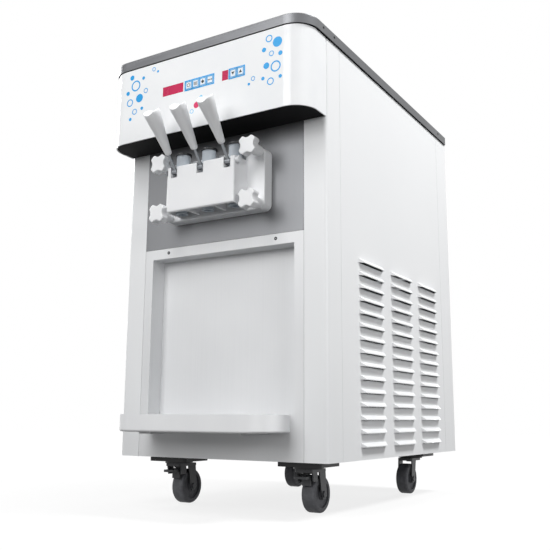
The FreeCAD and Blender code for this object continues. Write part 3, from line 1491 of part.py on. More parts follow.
NODES = [
    chassis_frame(),
    side_panel("left_side_panel", -1),
    side_panel("right_side_panel", 1),
    rear_panel(),
    corner_posts(),
    upper_front_panel(),
    lower_front_panel(),
    header_fascia(),
    header_soffit(),
    top_panel(),
    display_windows(),
    hoppers(),
    hopper_lid("left_hopper_lid", -1),
    hopper_lid("right_hopper_lid", 1),
    mix_feed_tubes(),
    freezing_barrels(),
    dispensing_door(),
    door_seals(),
    lever_pivot_pin(),
    nozzle_caps(),
    drip_tray(),
    drip_grid(),
    beater("left_beater", -1),
    beater("right_beater", 1),
    gear_motors(),
    compressor(),
    condenser(),
    condenser_fan(),
    control_box(),
    cord_gland(),
]
for key_name, key_middle in key_places().items():
    NODES.append(control_key(key_name, key_middle))
for row_name, row in (("upper", 1), ("lower", -1)):
    for side_name, side in (("left", -1), ("right", 1)):
        NODES.append(star_knob(f"{row_name}_{side_name}_knob", side, row))
for place, step in PLACES:
    NODES.append(handle_lever(f"{place}_lever", step))
    NODES.append(handle_grip(f"{place}_grip", step))
    NODES.append(draw_valve(f"{place}_valve", step))
plates = [caster_base(f"{place}_plate", side, end) for place, side, end in ENDS]
NODES.append(together("caster_plates", plates))
for place, side, end in ENDS:
    NODES.append(caster_fork(f"{place}_fork", side, end))
    NODES.append(caster_wheel(f"{place}_wheel", side, end))
    if end < 0:
        NODES.append(brake_pedal(f"{place}_brake", side))

DOC.recompute()
for thing in DOC.Objects:
    if "Invalid" in thing.State or "Error" in thing.State:
        raise RuntimeError(f"{thing.Name}: {thing.State}")
os.makedirs("parts", exist_ok=True)
for node in NODES:
    if node.Shape.isNull() or not node.Shape.isValid() or not node.Shape.Solids:
        raise RuntimeError(f"{node.Label} has no sound solid")
    node.Shape.exportStep(f"parts/{node.Label}.step")
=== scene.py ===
import math
from itertools import product

import bpy
from mathutils import Matrix, Vector


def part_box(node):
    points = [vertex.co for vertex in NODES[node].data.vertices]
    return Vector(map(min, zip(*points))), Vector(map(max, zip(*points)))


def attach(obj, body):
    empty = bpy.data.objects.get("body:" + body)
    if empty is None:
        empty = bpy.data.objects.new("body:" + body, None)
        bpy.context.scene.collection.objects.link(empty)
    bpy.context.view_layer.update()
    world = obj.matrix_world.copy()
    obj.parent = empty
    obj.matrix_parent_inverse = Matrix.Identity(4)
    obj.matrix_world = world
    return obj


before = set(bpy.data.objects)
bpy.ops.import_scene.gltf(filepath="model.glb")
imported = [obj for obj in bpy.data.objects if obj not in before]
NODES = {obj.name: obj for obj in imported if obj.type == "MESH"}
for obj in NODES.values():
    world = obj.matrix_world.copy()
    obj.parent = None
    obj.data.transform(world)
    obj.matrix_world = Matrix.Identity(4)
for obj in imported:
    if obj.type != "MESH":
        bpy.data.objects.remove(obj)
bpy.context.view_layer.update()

MM = 0.001

# Places on the machine, in metres, read from the model itself. Its front looks toward -Y.
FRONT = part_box("upper_front_panel")[0][1]
HEADER_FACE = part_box("header_fascia")[0][1]
REAR_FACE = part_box("rear_panel")[1][1]
KEY_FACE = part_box("first_key")[0][1]
RIM_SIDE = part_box("top_panel")[1][0]
# Where a draw valve's collar, painted near black as painted shade for the shade under its rim, and
# the pivot pin's white knob begin.
COLLAR_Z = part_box("middle_valve")[1][2] - 4.2 * MM
PIN_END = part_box("dispensing_door")[1][0] - 43 * MM

# Nearly all of a noise pattern's values lie in this range.
NOISE_RANGE = (0.3, 0.7)
# Faces that meet at a smaller angle than this are shaded as one.
SMOOTH_ANGLE = math.radians(35)
# A print stands this far off the face behind it, so that the two never share a plane.
PRINT_AIR = 0.01 * MM
PRINT_DEPTH = 0.2 * MM
# How far a cutting tool reaches past a face, on both sides of it.
TOOL_REACH = 10 * MM


def linear(code):
    """A written sRGB colour as the linear values that a shader takes."""
    parts = [int(code[i:i + 2], 16) / 255 for i in (1, 3, 5)]
    curve = [v / 12.92 if v <= 0.04045 else ((v + 0.055) / 1.055) ** 2.4 for v in parts]
    return curve + [1.0]


def add(tree, kind, settings=None, **links):
    """One node with its settings. An input given a socket is linked to it, a plain value is set.

    An input goes by its name, with _ for a space, or by the letter i and its number.
    """
    node = tree.nodes.new(kind)
    for field, value in (settings or {}).items():
        setattr(node, field, value)
    for name, source in links.items():
        numbered = name[0] == "i" and name[1:].isdigit()
        socket = node.inputs[int(name[1:]) if numbered else name.replace("_", " ")]
        if isinstance(source, bpy.types.NodeSocket):
            tree.links.new(source, socket)
        else:
            socket.default_value = source
    return node


def math_node(tree, operation, **links):
    """The result of one operation on the given values."""
    return add(tree, "ShaderNodeMath", {"operation": operation}, **links).outputs[0]


def blank(name):
    """An empty node material with its shader, its output and the piece's own coordinates."""
    material = bpy.data.materials.new(name)
    material.use_nodes = True
    tree = material.node_tree
    tree.nodes.clear()
    shader = add(tree, "ShaderNodeBsdfPrincipled")
    add(tree, "ShaderNodeOutputMaterial", i0=shader.outputs[0])
    place = add(tree, "ShaderNodeTexCoord").outputs["Object"]
    return material, tree, shader, place


def noise(tree, place, size, detail=2.0):
    """A cloudy pattern with patches of about this size."""
    pattern = add(tree, "ShaderNodeTexNoise", Vector=place, Scale=1 / size, Detail=detail)
    return pattern.outputs[0]


def span(tree, value, source, target=(0.0, 1.0)):
    """A value stretched from one range to another and held inside it."""
    ranged = add(
        tree, "ShaderNodeMapRange", {"clamp": True}, Value=value,
        From_Min=source[0], From_Max=source[1], To_Min=target[0], To_Max=target[1],
    )
    return ranged.outputs[0]


def between(tree, low, high, share):
    """Two written colours mixed by a share that a pattern gives."""
    mix = add(
        tree, "ShaderNodeMix", {"data_type": "RGBA"},
        i0=share, i6=linear(low), i7=linear(high),
    )
    return mix.outputs[2]


def paint(tree, shader, low, high, share):
    """The shader's colour, from two written ones."""
    tree.links.new(between(tree, low, high, share), shader.inputs["Base Color"])


def roughen(tree, shader, pattern, low, high):
    """The shader's roughness, which a pattern moves between two values."""
    rough = span(tree, pattern, NOISE_RANGE, (low, high))
    tree.links.new(rough, shader.inputs["Roughness"])


def relief(tree, shader, pattern, strength, depth=0.2 * MM):
    """A fine unevenness of the skin, which follows a pattern."""
    bump = add(tree, "ShaderNodeBump", Height=pattern, Strength=strength, Distance=depth)
    tree.links.new(bump.outputs[0], shader.inputs["Normal"])


def settle(shader, **values):
    """Plain values for the shader's inputs, which are named with _ for a space."""
    for name, value in values.items():
        shader.inputs[name.replace("_", " ")].default_value = value


def baked_enamel(name, shade, tint, peel_mm=1.6, gloss=0.32):
    """Baked enamel on steel sheet: even and half glossy, with a faint orange peel.

    Its tone drifts slowly and turns a little toward the tint near the floor.
    """
    low_darkening_heights, low_darkening_shares = (0.10, 0.30), (0.15, 0.0)
    material, tree, shader, place = blank(name)
    peel = noise(tree, place, peel_mm * MM)
    drift = noise(tree, place, 400 * MM, detail=3.0)
    # Near the floor the tone turns a little toward the tint, most below 0.1 m and not at all above
    # 0.3 m.
    height = add(tree, "ShaderNodeSeparateXYZ", Vector=place).outputs["Z"]
    low_darkening = span(tree, height, low_darkening_heights, low_darkening_shares)
    share = math_node(tree, "MULTIPLY_ADD", i0=drift, i1=0.55, i2=low_darkening)
    paint(tree, shader, shade, tint, share)
    roughen(tree, shader, peel, gloss - 0.04, gloss + 0.06)
    relief(tree, shader, peel, strength=0.06)
    settle(shader, IOR=1.5, Specular_IOR_Level=0.35)
    return material


def brushed_stainless(name, dark, light, along, metallic=1.0, rough=0.34):
    """Brushed stainless sheet, with fine streaks along one axis.

    Real brush lines are 0.1 mm wide. These are drawn wider, so that they show.
    """
    line_width, line_length = 0.8 * MM, 120 * MM
    material, tree, shader, place = blank(name)
    scales = [1 / (line_length if axis == along else line_width) for axis in "xyz"]
    lines = add(tree, "ShaderNodeMapping", Vector=place, Scale=scales).outputs[0]
    streaks = noise(tree, lines, 1.0, detail=4.0)
    clouds = span(tree, noise(tree, place, 250 * MM), NOISE_RANGE, (0.0, 0.4))
    share = math_node(tree, "MULTIPLY_ADD", i0=streaks, i1=0.6, i2=clouds)
    paint(tree, shader, dark, light, share)
    roughen(tree, shader, streaks, rough - 0.06, rough + 0.1)
    relief(tree, shader, streaks, strength=0.05)
    settle(shader, Metallic=metallic, Anisotropic=0.5)
    return material


def moulded_plastic(name, shade, tint, rough=0.22, grain_mm=0.9, grain=0.04, coat=0.0, shine=0.5):
    """Moulded plastic: a smooth skin with a slight grain and a slow change of tone."""
    material, tree, shader, place = blank(name)
    skin = noise(tree, place, grain_mm * MM)
    flow = noise(tree, place, 90 * MM, detail=3.0)
    paint(tree, shader, shade, tint, span(tree, flow, (0.25, 0.75)))
    roughen(tree, shader, flow, rough - 0.04, rough + 0.08)
    relief(tree, shader, skin, strength=grain)
    settle(shader, IOR=1.49, Specular_IOR_Level=shine, Coat_Weight=coat, Coat_Roughness=0.08)
    return material


def banded(name, low_shade, high_shade, axis, edge, rough=0.3):
    """A moulding in two colours that change at one place along an axis."""
    blend = 0.2 * MM
    material, tree, shader, place = blank(name)
    reach = add(tree, "ShaderNodeSeparateXYZ", Vector=place).outputs[axis]
    skin = noise(tree, place, 1.2 * MM)
    paint(tree, shader, low_shade, high_shade, span(tree, reach, (edge - blend, edge + blend)))
    roughen(tree, shader, skin, rough - 0.04, rough + 0.06)
    relief(tree, shader, skin, strength=0.05)
    settle(shader, IOR=1.49)
    return material


def rubber(name, shade, dust):
    """Rubber: matt, a little dusty, with a fine rough skin."""
    material, tree, shader, place = blank(name)
    skin = noise(tree, place, 1.1 * MM, detail=4.0)
    dirt = noise(tree, place, 12 * MM, detail=4.0)
    paint(tree, shader, shade, dust, span(tree, dirt, (0.42, 0.8)))
    roughen(tree, shader, skin, 0.55, 0.75)
    relief(tree, shader, skin, strength=0.2, depth=0.3 * MM)
    return material


ENAMEL = baked_enamel("white_baked_enamel", "#f4f5f6", "#e6e8ea")
TOP_STEEL = brushed_stainless("brushed_stainless_top", "#595a5d", "#78797b", "x")
FRONT_STEEL = brushed_stainless("brushed_stainless_front", "#626365", "#7a7b7d", "z", rough=0.42)
RECESS_STEEL = brushed_stainless(
    "satin_steel_recess", "#cecfd1", "#e0e1e2", "z", metallic=0.15, rough=0.45,
)
WHITE_ABS = moulded_plastic("white_abs", "#f5f6f7", "#eff0f2", rough=0.34, shine=0.3)
HEADER_ABS = moulded_plastic(
    "glossy_white_header", "#f8f9fa", "#f1f3f5", rough=0.14, coat=0.15, shine=0.3,
)
TRAY_ABS = moulded_plastic("white_drip_tray_abs", "#f6f7f8", "#eeeff1", rough=0.3, shine=0.3)
BLACK_ABS = moulded_plastic(
    "black_grained_abs", "#060607", "#0c0c0e", rough=0.7, grain_mm=1.4, grain=0.15, shine=0.12,
)
KEY_WHITE = moulded_plastic("key_cap_polycarbonate", "#f4f7f9", "#e8eef2", rough=0.18)
PRINT_BLUE = moulded_plastic("blue_screen_print", "#16a6ea", "#0f97da", rough=0.3)
PRINT_PALE = moulded_plastic("pale_blue_screen_print", "#8fd0f2", "#7cc4ec", rough=0.3)
PRINT_PINK = moulded_plastic("pink_screen_print", "#dd3a6c", "#cc2c5e", rough=0.3)
PRINT_INK = moulded_plastic("dark_icon_print", "#1d2429", "#2b343a", rough=0.35)
DISPLAY = moulded_plastic(
    "pink_display_acrylic", "#cf2058", "#b81c4c", rough=0.24, coat=0.15, shine=0.3,
)
# The valve's collar is painted near black: painted shade that stands for the shade under the
# collar's rim.
VALVE = banded("grey_blue_acetal_with_painted_shade_collar", "#ccd4dc", "#1a1c1f", "Z", COLLAR_Z)
PIN = banded("steel_pin_with_white_knob", "#85888c", "#eef0f2", "X", PIN_END)
LEVER_STEEL = brushed_stainless("lever_steel", "#6f7276", "#8c8f93", "z", rough=0.3)
BARE_STEEL = brushed_stainless("brushed_stainless_works", "#a8abad", "#c4c6c8", "y", rough=0.28)
SCREW_STEEL = brushed_stainless("blackened_screw_steel", "#2b2d2f", "#3a3c3e", "y", rough=0.4)
CASTER_PLATE = baked_enamel(
    "black_caster_plate_enamel", "#121214", "#1b1b1e", peel_mm=0.9, gloss=0.4,
)
CASTER_STEEL = baked_enamel(
    "dark_plated_caster_steel", "#48494c", "#3a3b3e", peel_mm=0.9, gloss=0.36,
)
TREAD = rubber("grey_rubber_tread", "#55565a", "#6d6e72")
SEAL = rubber("black_seal_rubber", "#141416", "#1f1f22")
CHASSIS = baked_enamel("grey_chassis_enamel", "#5c6064", "#4e5256", gloss=0.42)
MOTOR = baked_enamel("dark_grey_motor_enamel", "#3a3e44", "#2e3237", gloss=0.42)
COMPRESSOR = baked_enamel("black_compressor_enamel", "#15161a", "#1e2024", gloss=0.3)
FINS = brushed_stainless("rolled_aluminium_fins", "#b8babd", "#d2d4d6", "z", rough=0.36)
LID = moulded_plastic(
    "grey_lid_polypropylene", "#a3a8ad", "#989da2", rough=0.36, grain_mm=1.1, grain=0.1,
)
BOX_GREY = moulded_plastic("grey_box_polycarbonate", "#8b9097", "#7d838a", rough=0.4)

FOUR_KEYS = ["first_key", "second_key", "third_key", "fourth_key"]
TWO_KEYS = ["down_key", "up_key"]

FINISHES = {
    ENAMEL: ["left_side_panel", "right_side_panel", "rear_panel", "corner_posts"],
    TOP_STEEL: ["top_panel"],
    FRONT_STEEL: ["upper_front_panel"],
    RECESS_STEEL: ["lower_front_panel"],
    HEADER_ABS: ["header_fascia"],
    BLACK_ABS: ["header_soffit", "cord_gland", "condenser_fan"],
    DISPLAY: ["display_windows"],
    KEY_WHITE: FOUR_KEYS + TWO_KEYS,
    BARE_STEEL: [
        "hoppers", "mix_feed_tubes", "freezing_barrels", "drip_grid", "left_beater", "right_beater",
    ],
    LID: ["left_hopper_lid", "right_hopper_lid"],
    WHITE_ABS: [
        "dispensing_door", "left_grip", "middle_grip", "right_grip",
        "upper_left_knob", "upper_right_knob", "lower_left_knob", "lower_right_knob",
    ],
    SEAL: ["door_seals"],
    PIN: ["lever_pivot_pin"],
    VALVE: ["left_valve", "middle_valve", "right_valve", "nozzle_caps"],
    LEVER_STEEL: ["left_lever", "middle_lever", "right_lever"],
    TRAY_ABS: ["drip_tray"],
    CHASSIS: ["chassis_frame"],
    MOTOR: ["gear_motors"],
    COMPRESSOR: ["compressor"],
    FINS: ["condenser"],
    BOX_GREY: ["control_box"],
    CASTER_PLATE: ["caster_plates"],
    CASTER_STEEL: [
        "front_left_fork", "front_right_fork", "rear_left_fork", "rear_right_fork",
        "front_left_brake", "front_right_brake",
    ],
    TREAD: ["front_left_wheel", "front_right_wheel", "rear_left_wheel", "rear_right_wheel"],
}


def dress_nodes():
    """Gives each node of the part its finish."""
    for material, names in FINISHES.items():
        for name in names:
            slots = NODES[name].data.materials
            slots.clear()
            slots.append(material)


def take(*pieces):
    """Selects these objects and no others, the first as the active one."""
    bpy.ops.object.select_all(action="DESELECT")
    for piece in pieces:
        piece.select_set(True)
    bpy.context.view_layer.objects.active = pieces[0]


def merge(pieces):
    """Joins the pieces into the first one, which becomes active."""
    take(*pieces)
    if len(pieces) > 1:
        bpy.ops.object.join()


def keep(name, body, material):
    """Settles the active object as a finished piece of the machine."""
    piece = bpy.context.object
    bpy.ops.object.transform_apply(location=True, rotation=True, scale=True)
    piece.name = name
    piece.data.name = name
    piece.data.materials.clear()
    piece.data.materials.append(material)
    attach(piece, body)


def apply_all():
    """Applies the active object's modifiers."""
    for modifier in list(bpy.context.object.modifiers):
        bpy.ops.object.modifier_apply(modifier=modifier.name)


def soften(width):
    """Rounds every sharp edge of the active object."""
    bevel = bpy.context.object.modifiers.new("edge", "BEVEL")
    bevel.width = width
    bevel.segments = 2
    bevel.limit_method = "ANGLE"
    apply_all()
    bpy.ops.object.shade_smooth_by_angle(angle=SMOOTH_ANGLE)


def cut_by(piece, tools):
    """Takes the tools' volume out of the piece, which becomes active, and removes the tools."""
    take(piece)
    for tool in tools:
        taken = piece.modifiers.new("cut", "BOOLEAN")
        taken.operation = "DIFFERENCE"
        taken.object = tool
        taken.solver = "EXACT"
    apply_all()
    for tool in tools:
        bpy.data.objects.remove(tool)


def block(low, high):
    """A block between two corners, as the active object."""
    middle = [(a + b) / 2 for a, b in zip(low, high)]
    bpy.ops.mesh.primitive_cube_add(size=1, location=middle)
    bpy.context.object.scale = [b - a for a, b in zip(low, high)]
    bpy.ops.object.transform_apply(location=True, rotation=True, scale=True)
    return bpy.context.object


def copies(model, places):
    """Copies of one model, joined as the active object. A place is a spot and the way it faces.

    A copy turns about the model's own origin and keeps that origin's lift along Z, so a head that
    faces sideways is sunk by half its height.
    """
    made = []
    for spot, facing in places:
        twin = model.copy()
        twin.data = model.data.copy()
        bpy.context.collection.objects.link(twin)
        turn = Vector((0, 0, 1)).rotation_difference(Vector(facing)).to_matrix().to_4x4()
        twin.data.transform(Matrix.Translation(Vector(spot)) @ turn)
        made.append(twin)
    bpy.data.objects.remove(model)
    merge(made)


def screw_head(radius, height):
    """A pan head with a rounded rim and a cross recess, which faces up."""
    bpy.ops.mesh.primitive_cylinder_add(
        vertices=32, radius=radius, depth=height, location=(0, 0, height / 2),
    )
    head = bpy.context.object
    bpy.ops.object.mode_set(mode="EDIT")
    bpy.ops.mesh.select_mode(type="FACE")
    bpy.ops.mesh.select_all(action="DESELECT")
    bpy.ops.object.mode_set(mode="OBJECT")
    for face in head.data.polygons:
        face.select = face.normal.z > 0.9
    bpy.ops.object.mode_set(mode="EDIT")
    bpy.ops.mesh.bevel(offset=height * 0.55, segments=4, affect="EDGES")
    bpy.ops.object.mode_set(mode="OBJECT")
    arm, web = radius * 0.62, radius * 0.14
    bottom, above = height * 0.35, height * 2
    recess = [
        block((-arm, -web, bottom), (arm, web, above)),
        block((-web, -arm, bottom), (web, arm, above)),
    ]
    cut_by(head, recess)
    bpy.ops.object.shade_smooth_by_angle(angle=SMOOTH_ANGLE)
    return head


def screws(name, places, radius=3.6 * MM, height=1.8 * MM):
    """A set of screws on the cabinet."""
    copies(screw_head(radius, height), places)
    keep(name, "cabinet", SCREW_STEEL)


# Screws, in metres: across from the middle, height above the floor, or behind the front panel.
LOWER_SCREW_X, LOWER_SCREW_Z = 141 * MM, 553 * MM
RIM_SCREWS_BEHIND, RIM_SCREW_Z = (-16.6 * MM, 32.4 * MM, 677.9 * MM), 983 * MM
REAR_SCREW_X, REAR_SCREWS_Z = 236 * MM, (140 * MM, 545 * MM, 940 * MM)


def panel_screws():
    """Two screws over the serving recess, three on each side of the top, six on the rear panel."""
    screws("lower_panel_screws", [
        ((side * LOWER_SCREW_X, FRONT, LOWER_SCREW_Z), (0, -1, 0)) for side in (-1, 1)
    ])
    screws("top_rim_screws", [
        ((side * RIM_SIDE, FRONT + behind, RIM_SCREW_Z), (side, 0, 0))
        for side, behind in product((-1, 1), RIM_SCREWS_BEHIND)
    ], radius=3.0 * MM, height=1.2 * MM)
    screws("rear_panel_screws", [
        ((side * REAR_SCREW_X, REAR_FACE, z), (0, 1, 0))
        for side, z in product((-1, 1), REAR_SCREWS_Z)
    ])


def bolt_head(radius, height):
    """A hexagon head with a rounded upper rim on a round washer."""
    washer_height = height * 0.25
    bpy.ops.mesh.primitive_cylinder_add(
        vertices=6, radius=radius, depth=height, location=(0, 0, height * 0.7),
    )
    soften(radius * 0.12)
    hexagon = bpy.context.object
    bpy.ops.mesh.primitive_cylinder_add(
        vertices=32, radius=radius * 1.35, depth=washer_height, location=(0, 0, washer_height / 2),
    )
    soften(height * 0.06)
    merge([hexagon, bpy.context.object])
    return hexagon


# A caster plate, and the bolts at its corners.
PLATE_HALF_X, PLATE_HALF_Y, PLATE_THICK = 50 * MM, 45 * MM, 12 * MM
BOLT_INSET, BOLT_RADIUS, BOLT_HEIGHT = 12 * MM, 5.5 * MM, 4 * MM


def caster_bolts():
    """Four bolts in each caster plate, which lie inside its thickness."""
    low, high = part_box("caster_plates")
    spots = []
    for x, y, out_x, out_y in product(
        (low[0] + PLATE_HALF_X, high[0] - PLATE_HALF_X),
        (low[1] + PLATE_HALF_Y, high[1] - PLATE_HALF_Y),
        (BOLT_INSET - PLATE_HALF_X, PLATE_HALF_X - BOLT_INSET),
        (BOLT_INSET - PLATE_HALF_Y, PLATE_HALF_Y - BOLT_INSET),
    ):
        spots.append(((x + out_x, y + out_y, high[2] - PLATE_THICK), (0, 0, -1)))
    copies(bolt_head(BOLT_RADIUS, BOLT_HEIGHT), spots)
    keep("caster_bolts", "cabinet", CASTER_STEEL)


# The draw valves' seal rings: how high above the valve's lower end, and how they are drawn.
RING_LIFTS = {"lower": 21 * MM, "upper": 41 * MM}
RING_RADIUS, RING_WIRE, RING_STRETCH = 14.2 * MM, 0.95 * MM, 1.6


def valve_rings():
    """Two seal rings in each draw valve's grooves, which are higher than the rings are thick."""
    for side, (label, lift) in product(("left", "middle", "right"), RING_LIFTS.items()):
        low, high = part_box(f"{side}_valve")
        bpy.ops.mesh.primitive_torus_add(
            location=((low[0] + high[0]) / 2, (low[1] + high[1]) / 2, low[2] + lift),
            major_segments=64, minor_segments=16, major_radius=RING_RADIUS, minor_radius=RING_WIRE,
        )
        bpy.context.object.scale.z = RING_STRETCH
        bpy.ops.object.shade_smooth()
        keep(f"{side}_valve_{label}_ring", f"{side}_draw_valve", SEAL)


def rectangle(boxes, margin):
    """The front view's rectangle round some boxes and a margin: two corners, across and height."""
    low = [min(box[0][i] for box in boxes) - margin for i in (0, 2)]
    high = [max(box[1][i] for box in boxes) + margin for i in (0, 2)]
    return low, high


def pierced_plate(outside, openings, face, depth, edge):
    """A thin plate on a front face with rectangular openings, as the active object."""
    low, high = outside
    plate = block((low[0], face - depth, low[1]), (high[0], face - PRINT_AIR, high[1]))
    tools = []
    for low, high in openings:
        tools.append(block(
            (low[0], face - TOOL_REACH, low[1]), (high[0], face + TOOL_REACH, high[1]),
        ))
    cut_by(plate, tools)
    soften(edge)


def key_surround(name, keys):
    """A thin blue surround on the header with an opening for each key."""
    margin, gap = 3 * MM, 0.4 * MM
    boxes = [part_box(key) for key in keys]
    openings = [rectangle([box], gap) for box in boxes]
    outside = rectangle(boxes, margin)
    pierced_plate(outside, openings, HEADER_FACE, depth=0.45 * MM, edge=0.12 * MM)
    keep(name, "cabinet", PRINT_BLUE)


def key_frame(key):
    """A raised blue line round a key's face."""
    inset, line = 0.5 * MM, 1.5 * MM
    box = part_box(key)
    opening = rectangle([box], -inset - line)
    outside = rectangle([box], -inset)
    pierced_plate(outside, [opening], KEY_FACE, depth=0.25 * MM, edge=0.08 * MM)
    keep(f"{key}_frame", f"{key}_cap", PRINT_BLUE)


def flat_figure(corners, x, z, radius, face, turn=0, depth=PRINT_DEPTH):
    """A thin raised figure on a front face: a regular one with so many corners."""
    bpy.ops.mesh.primitive_circle_add(vertices=corners, radius=radius, fill_type="NGON")
    figure = bpy.context.object
    bpy.ops.object.mode_set(mode="EDIT")
    bpy.ops.mesh.select_all(action="SELECT")
    bpy.ops.mesh.extrude_region_move(TRANSFORM_OT_translate={"value": (0, 0, depth)})
    bpy.ops.mesh.select_all(action="SELECT")
    bpy.ops.mesh.normals_make_consistent(inside=False)
    bpy.ops.object.mode_set(mode="OBJECT")
    upright = Matrix.Translation((x, face, z)) @ Matrix.Rotation(math.radians(90), 4, "X")
    figure.data.transform(upright @ Matrix.Rotation(math.radians(turn), 4, "Z"))
    return figure


def ring_figure(x, z, radius, line, face):
    """A thin raised ring on a front face."""
    corners = 48
    outer = flat_figure(corners, x, z, radius, face)
    inner = flat_figure(
        corners, x, z, radius - line, face + PRINT_DEPTH * 2, depth=PRINT_DEPTH * 6,
    )
    cut_by(outer, [inner])
    return outer


def key_signs():
    """Plain signs on the keys: a ring, three bars, a diamond, three dots and two arrowheads."""
    face = KEY_FACE - PRINT_AIR

    def middle(key):
        low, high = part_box(key)
        return (low[0] + high[0]) / 2, (low[2] + high[2]) / 2

    def bar(key, across, half_width, half_height):
        x, z = middle(key)
        return block(
            (x + across - half_width, face - PRINT_DEPTH, z - half_height),
            (x + across + half_width, face, z + half_height),
        )

    def figure(key, corners, radius, across=0, up=0, turn=0):
        x, z = middle(key)
        return flat_figure(corners, x + across, z + up, radius, face, turn)

    bar_step, dot_step, arrow_shift = 3.4 * MM, 4 * MM, 0.8 * MM
    signs = {
        "first_key": [ring_figure(*middle("first_key"), 4.2 * MM, 1.1 * MM, face)],
        "second_key": [
            bar("second_key", step * bar_step, 0.8 * MM, 4 * MM) for step in (-1, 0, 1)
        ],
        "third_key": [figure("third_key", 4, 4.4 * MM)],
        "fourth_key": [
            figure("fourth_key", 24, 1.5 * MM, across=step * dot_step) for step in (-1, 0, 1)
        ],
        "down_key": [figure("down_key", 3, 4.6 * MM, up=arrow_shift, turn=180)],
        "up_key": [figure("up_key", 3, 4.6 * MM, up=-arrow_shift)],
    }
    for key, figures in signs.items():
        merge(figures)
        keep(f"{key}_sign", f"{key}_cap", PRINT_INK)


# Printed bubbles on the header in millimetres: across, height above the floor, radius, and the
# line's width, which is 0 for a full dot.
LEFT_BUBBLES = [
    (-192, 952, 6, 0), (-180, 930, 13, 3.2), (-203, 916, 5, 0), (-158, 944, 4, 0),
    (-196, 892, 9, 2.4), (-168, 898, 10, 0), (-181, 868, 7, 2), (-160, 872, 4, 0),
    (-193, 852, 4, 0), (-150, 912, 6, 1.8),
]
RIGHT_BUBBLES = [
    (176, 950, 8, 2.2), (196, 938, 11, 0), (203, 912, 5, 0), (182, 916, 6, 1.8),
    (164, 928, 5, 0), (192, 886, 12, 3), (170, 892, 7, 0), (203, 862, 4, 0),
    (180, 856, 8, 2.2), (162, 866, 4, 0),
]
LOOSE_BUBBLES = [(-128, 958, 5, 1.5), (-116, 950, 3, 0), (138, 872, 5, 1.5), (128, 862, 3, 0)]
MIDDLE_DOTS = [(-6, 846, 7, 0), (12, 838, 4, 0), (26, 850, 5, 1.5)]
PALE_DOTS = [(6, 862, 4, 0), (-18, 834, 5, 1.5), (34, 836, 3.5, 0)]
DOT_CORNERS = 40


def bubbles(name, spots, material):
    """A loose group of printed rings and dots, which stand proud of the header."""
    face = HEADER_FACE - PRINT_AIR
    figures = []
    for spot in spots:
        x, z, radius, line = (value * MM for value in spot)
        if line:
            figures.append(ring_figure(x, z, radius, line, face))
        else:
            figures.append(flat_figure(DOT_CORNERS, x, z, radius, face))
    merge(figures)
    keep(name, "cabinet", material)


def header_print():
    """The header's print: blue bubbles at both ends, pink and pale dots below the keys."""
    bubbles("left_bubble_print", LEFT_BUBBLES, PRINT_BLUE)
    bubbles("right_bubble_print", RIGHT_BUBBLES, PRINT_BLUE)
    bubbles("loose_bubble_print", LOOSE_BUBBLES, PRINT_BLUE)
    bubbles("middle_dot_print", MIDDLE_DOTS, PRINT_PINK)
    bubbles("pale_dot_print", PALE_DOTS, PRINT_PALE)


def seen_ray(tree):
    """One for a ray that the eye follows, also in a mirror or through glass, nought for others."""
    ray = add(tree, "ShaderNodeLightPath").outputs
    seen = math_node(tree, "MAXIMUM", i0=ray["Is Camera Ray"], i1=ray["Is Glossy Ray"])
    return math_node(tree, "MAXIMUM", i0=seen, i1=ray["Is Transmission Ray"])


def floor():
    """A pale floor that keeps the machine's shadow and fades to white away from it."""
    fade_distances, fade_shares = (0.45, 1.0), (0.8, 1.0)
    bpy.ops.mesh.primitive_plane_add(size=14)
    plane = bpy.context.object
    plane.name = "floor"
    material = bpy.data.materials.new("pale_floor")
    material.use_nodes = True
    tree = material.node_tree
    tree.nodes.clear()
    place = add(tree, "ShaderNodeTexCoord").outputs["Object"]
    reach = add(tree, "ShaderNodeVectorMath", {"operation": "LENGTH"}, Vector=place)
    fade = span(tree, reach.outputs["Value"], fade_distances, fade_shares)
    seen = seen_ray(tree)
    share = math_node(tree, "MULTIPLY", i0=seen, i1=fade)
    matt = add(tree, "ShaderNodeBsdfDiffuse", Color=between(tree, "#383838", "#e8e8e8", seen))
    glow = add(tree, "ShaderNodeEmission", Color=(1, 1, 1, 1), Strength=1.02)
    mixed = add(
        tree, "ShaderNodeMixShader", i0=share, i1=matt.outputs[0], i2=glow.outputs[0],
    )
    add(tree, "ShaderNodeOutputMaterial", i0=mixed.outputs[0])
    plane.data.materials.append(material)


def surround():
    """A white surround that is brighter to the eye than as a light."""
    as_light, as_seen = 0.06, 1.0
    world = bpy.data.worlds.new("white_surround")
    world.use_nodes = True
    bpy.context.scene.world = world
    tree = world.node_tree
    tree.nodes.clear()
    level = span(tree, seen_ray(tree), (0, 1), (as_light, as_seen))
    sky = add(tree, "ShaderNodeBackground", Color=(1, 1, 1, 1), Strength=level)
    add(tree, "ShaderNodeOutputWorld", i0=sky.outputs[0])


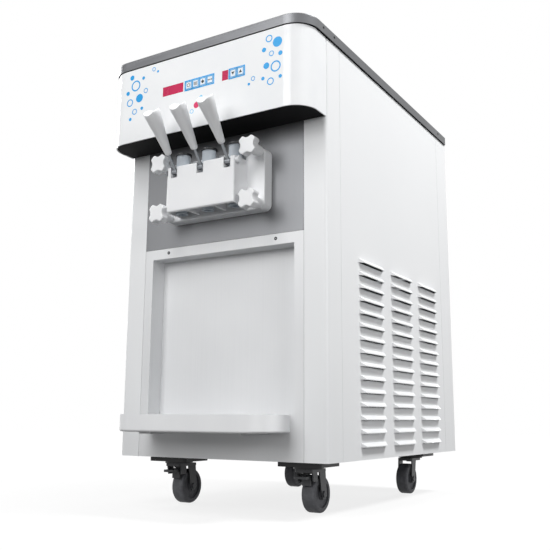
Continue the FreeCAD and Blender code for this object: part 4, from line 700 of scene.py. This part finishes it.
# Square lamps: place and width in metres, power in watts.
LAMPS = [
    ("right_lamp", (2.2, 0.6, 3.7), 1.0, 160),
    ("right_fill", (3.0, -1.6, 1.1), 1.4, 28),
    ("front_lamp", (-0.2, -2.4, 3.0), 1.4, 40),
    ("front_fill", (-0.4, -3.4, 1.6), 1.8, 54),
    ("left_lamp", (-3.2, 0.4, 2.2), 1.4, 64),
    ("rear_lamp", (-0.25, 3.4, 1.1), 0.9, 52),
]
LAMP_AIM = Vector((0, 0, 0.5))


def lamps():
    """High lamps on the right and in front, so that ledges throw their shadow down.

    Weaker ones fill the shade there and light the left side and the rear.
    """
    for name, spot, size, power in LAMPS:
        lamp = bpy.data.objects.new(name, bpy.data.lights.new(name, "AREA"))
        lamp.data.energy = power
        lamp.data.size = size
        lamp.location = spot
        aim = LAMP_AIM - Vector(spot)
        lamp.rotation_euler = aim.to_track_quat("-Z", "Y").to_euler()
        bpy.context.collection.objects.link(lamp)


def camera():
    """Low in front and to the right, a little upward, with the photograph's field of view."""
    place = (0.93276, -1.59343, 0.19113)
    yaw, pitch, roll = (math.radians(angle) for angle in (-31.43, 10.66, 0.37))
    lens = bpy.data.cameras.new("camera")
    lens.sensor_fit = "HORIZONTAL"
    lens.sensor_width = 36
    lens.lens = 49.52
    ahead = Vector((
        math.sin(yaw) * math.cos(pitch), math.cos(yaw) * math.cos(pitch), math.sin(pitch),
    ))
    right = Vector((math.cos(yaw), -math.sin(yaw), 0))
    up = right.cross(ahead)
    across = right * math.cos(roll) + up * math.sin(roll)
    above = up * math.cos(roll) - right * math.sin(roll)
    turn = Matrix((across, above, -ahead)).transposed().to_4x4()
    eye = bpy.data.objects.new("camera", lens)
    eye.matrix_world = Matrix.Translation(place) @ turn
    bpy.context.collection.objects.link(eye)
    bpy.context.scene.camera = eye


dress_nodes()
key_surround("four_key_surround", FOUR_KEYS)
key_surround("two_key_surround", TWO_KEYS)
for key in FOUR_KEYS + TWO_KEYS:
    key_frame(key)
key_signs()
header_print()
panel_screws()
caster_bolts()
valve_rings()
floor()
surround()
lamps()
camera()
bpy.context.scene.view_settings.view_transform = "Standard"
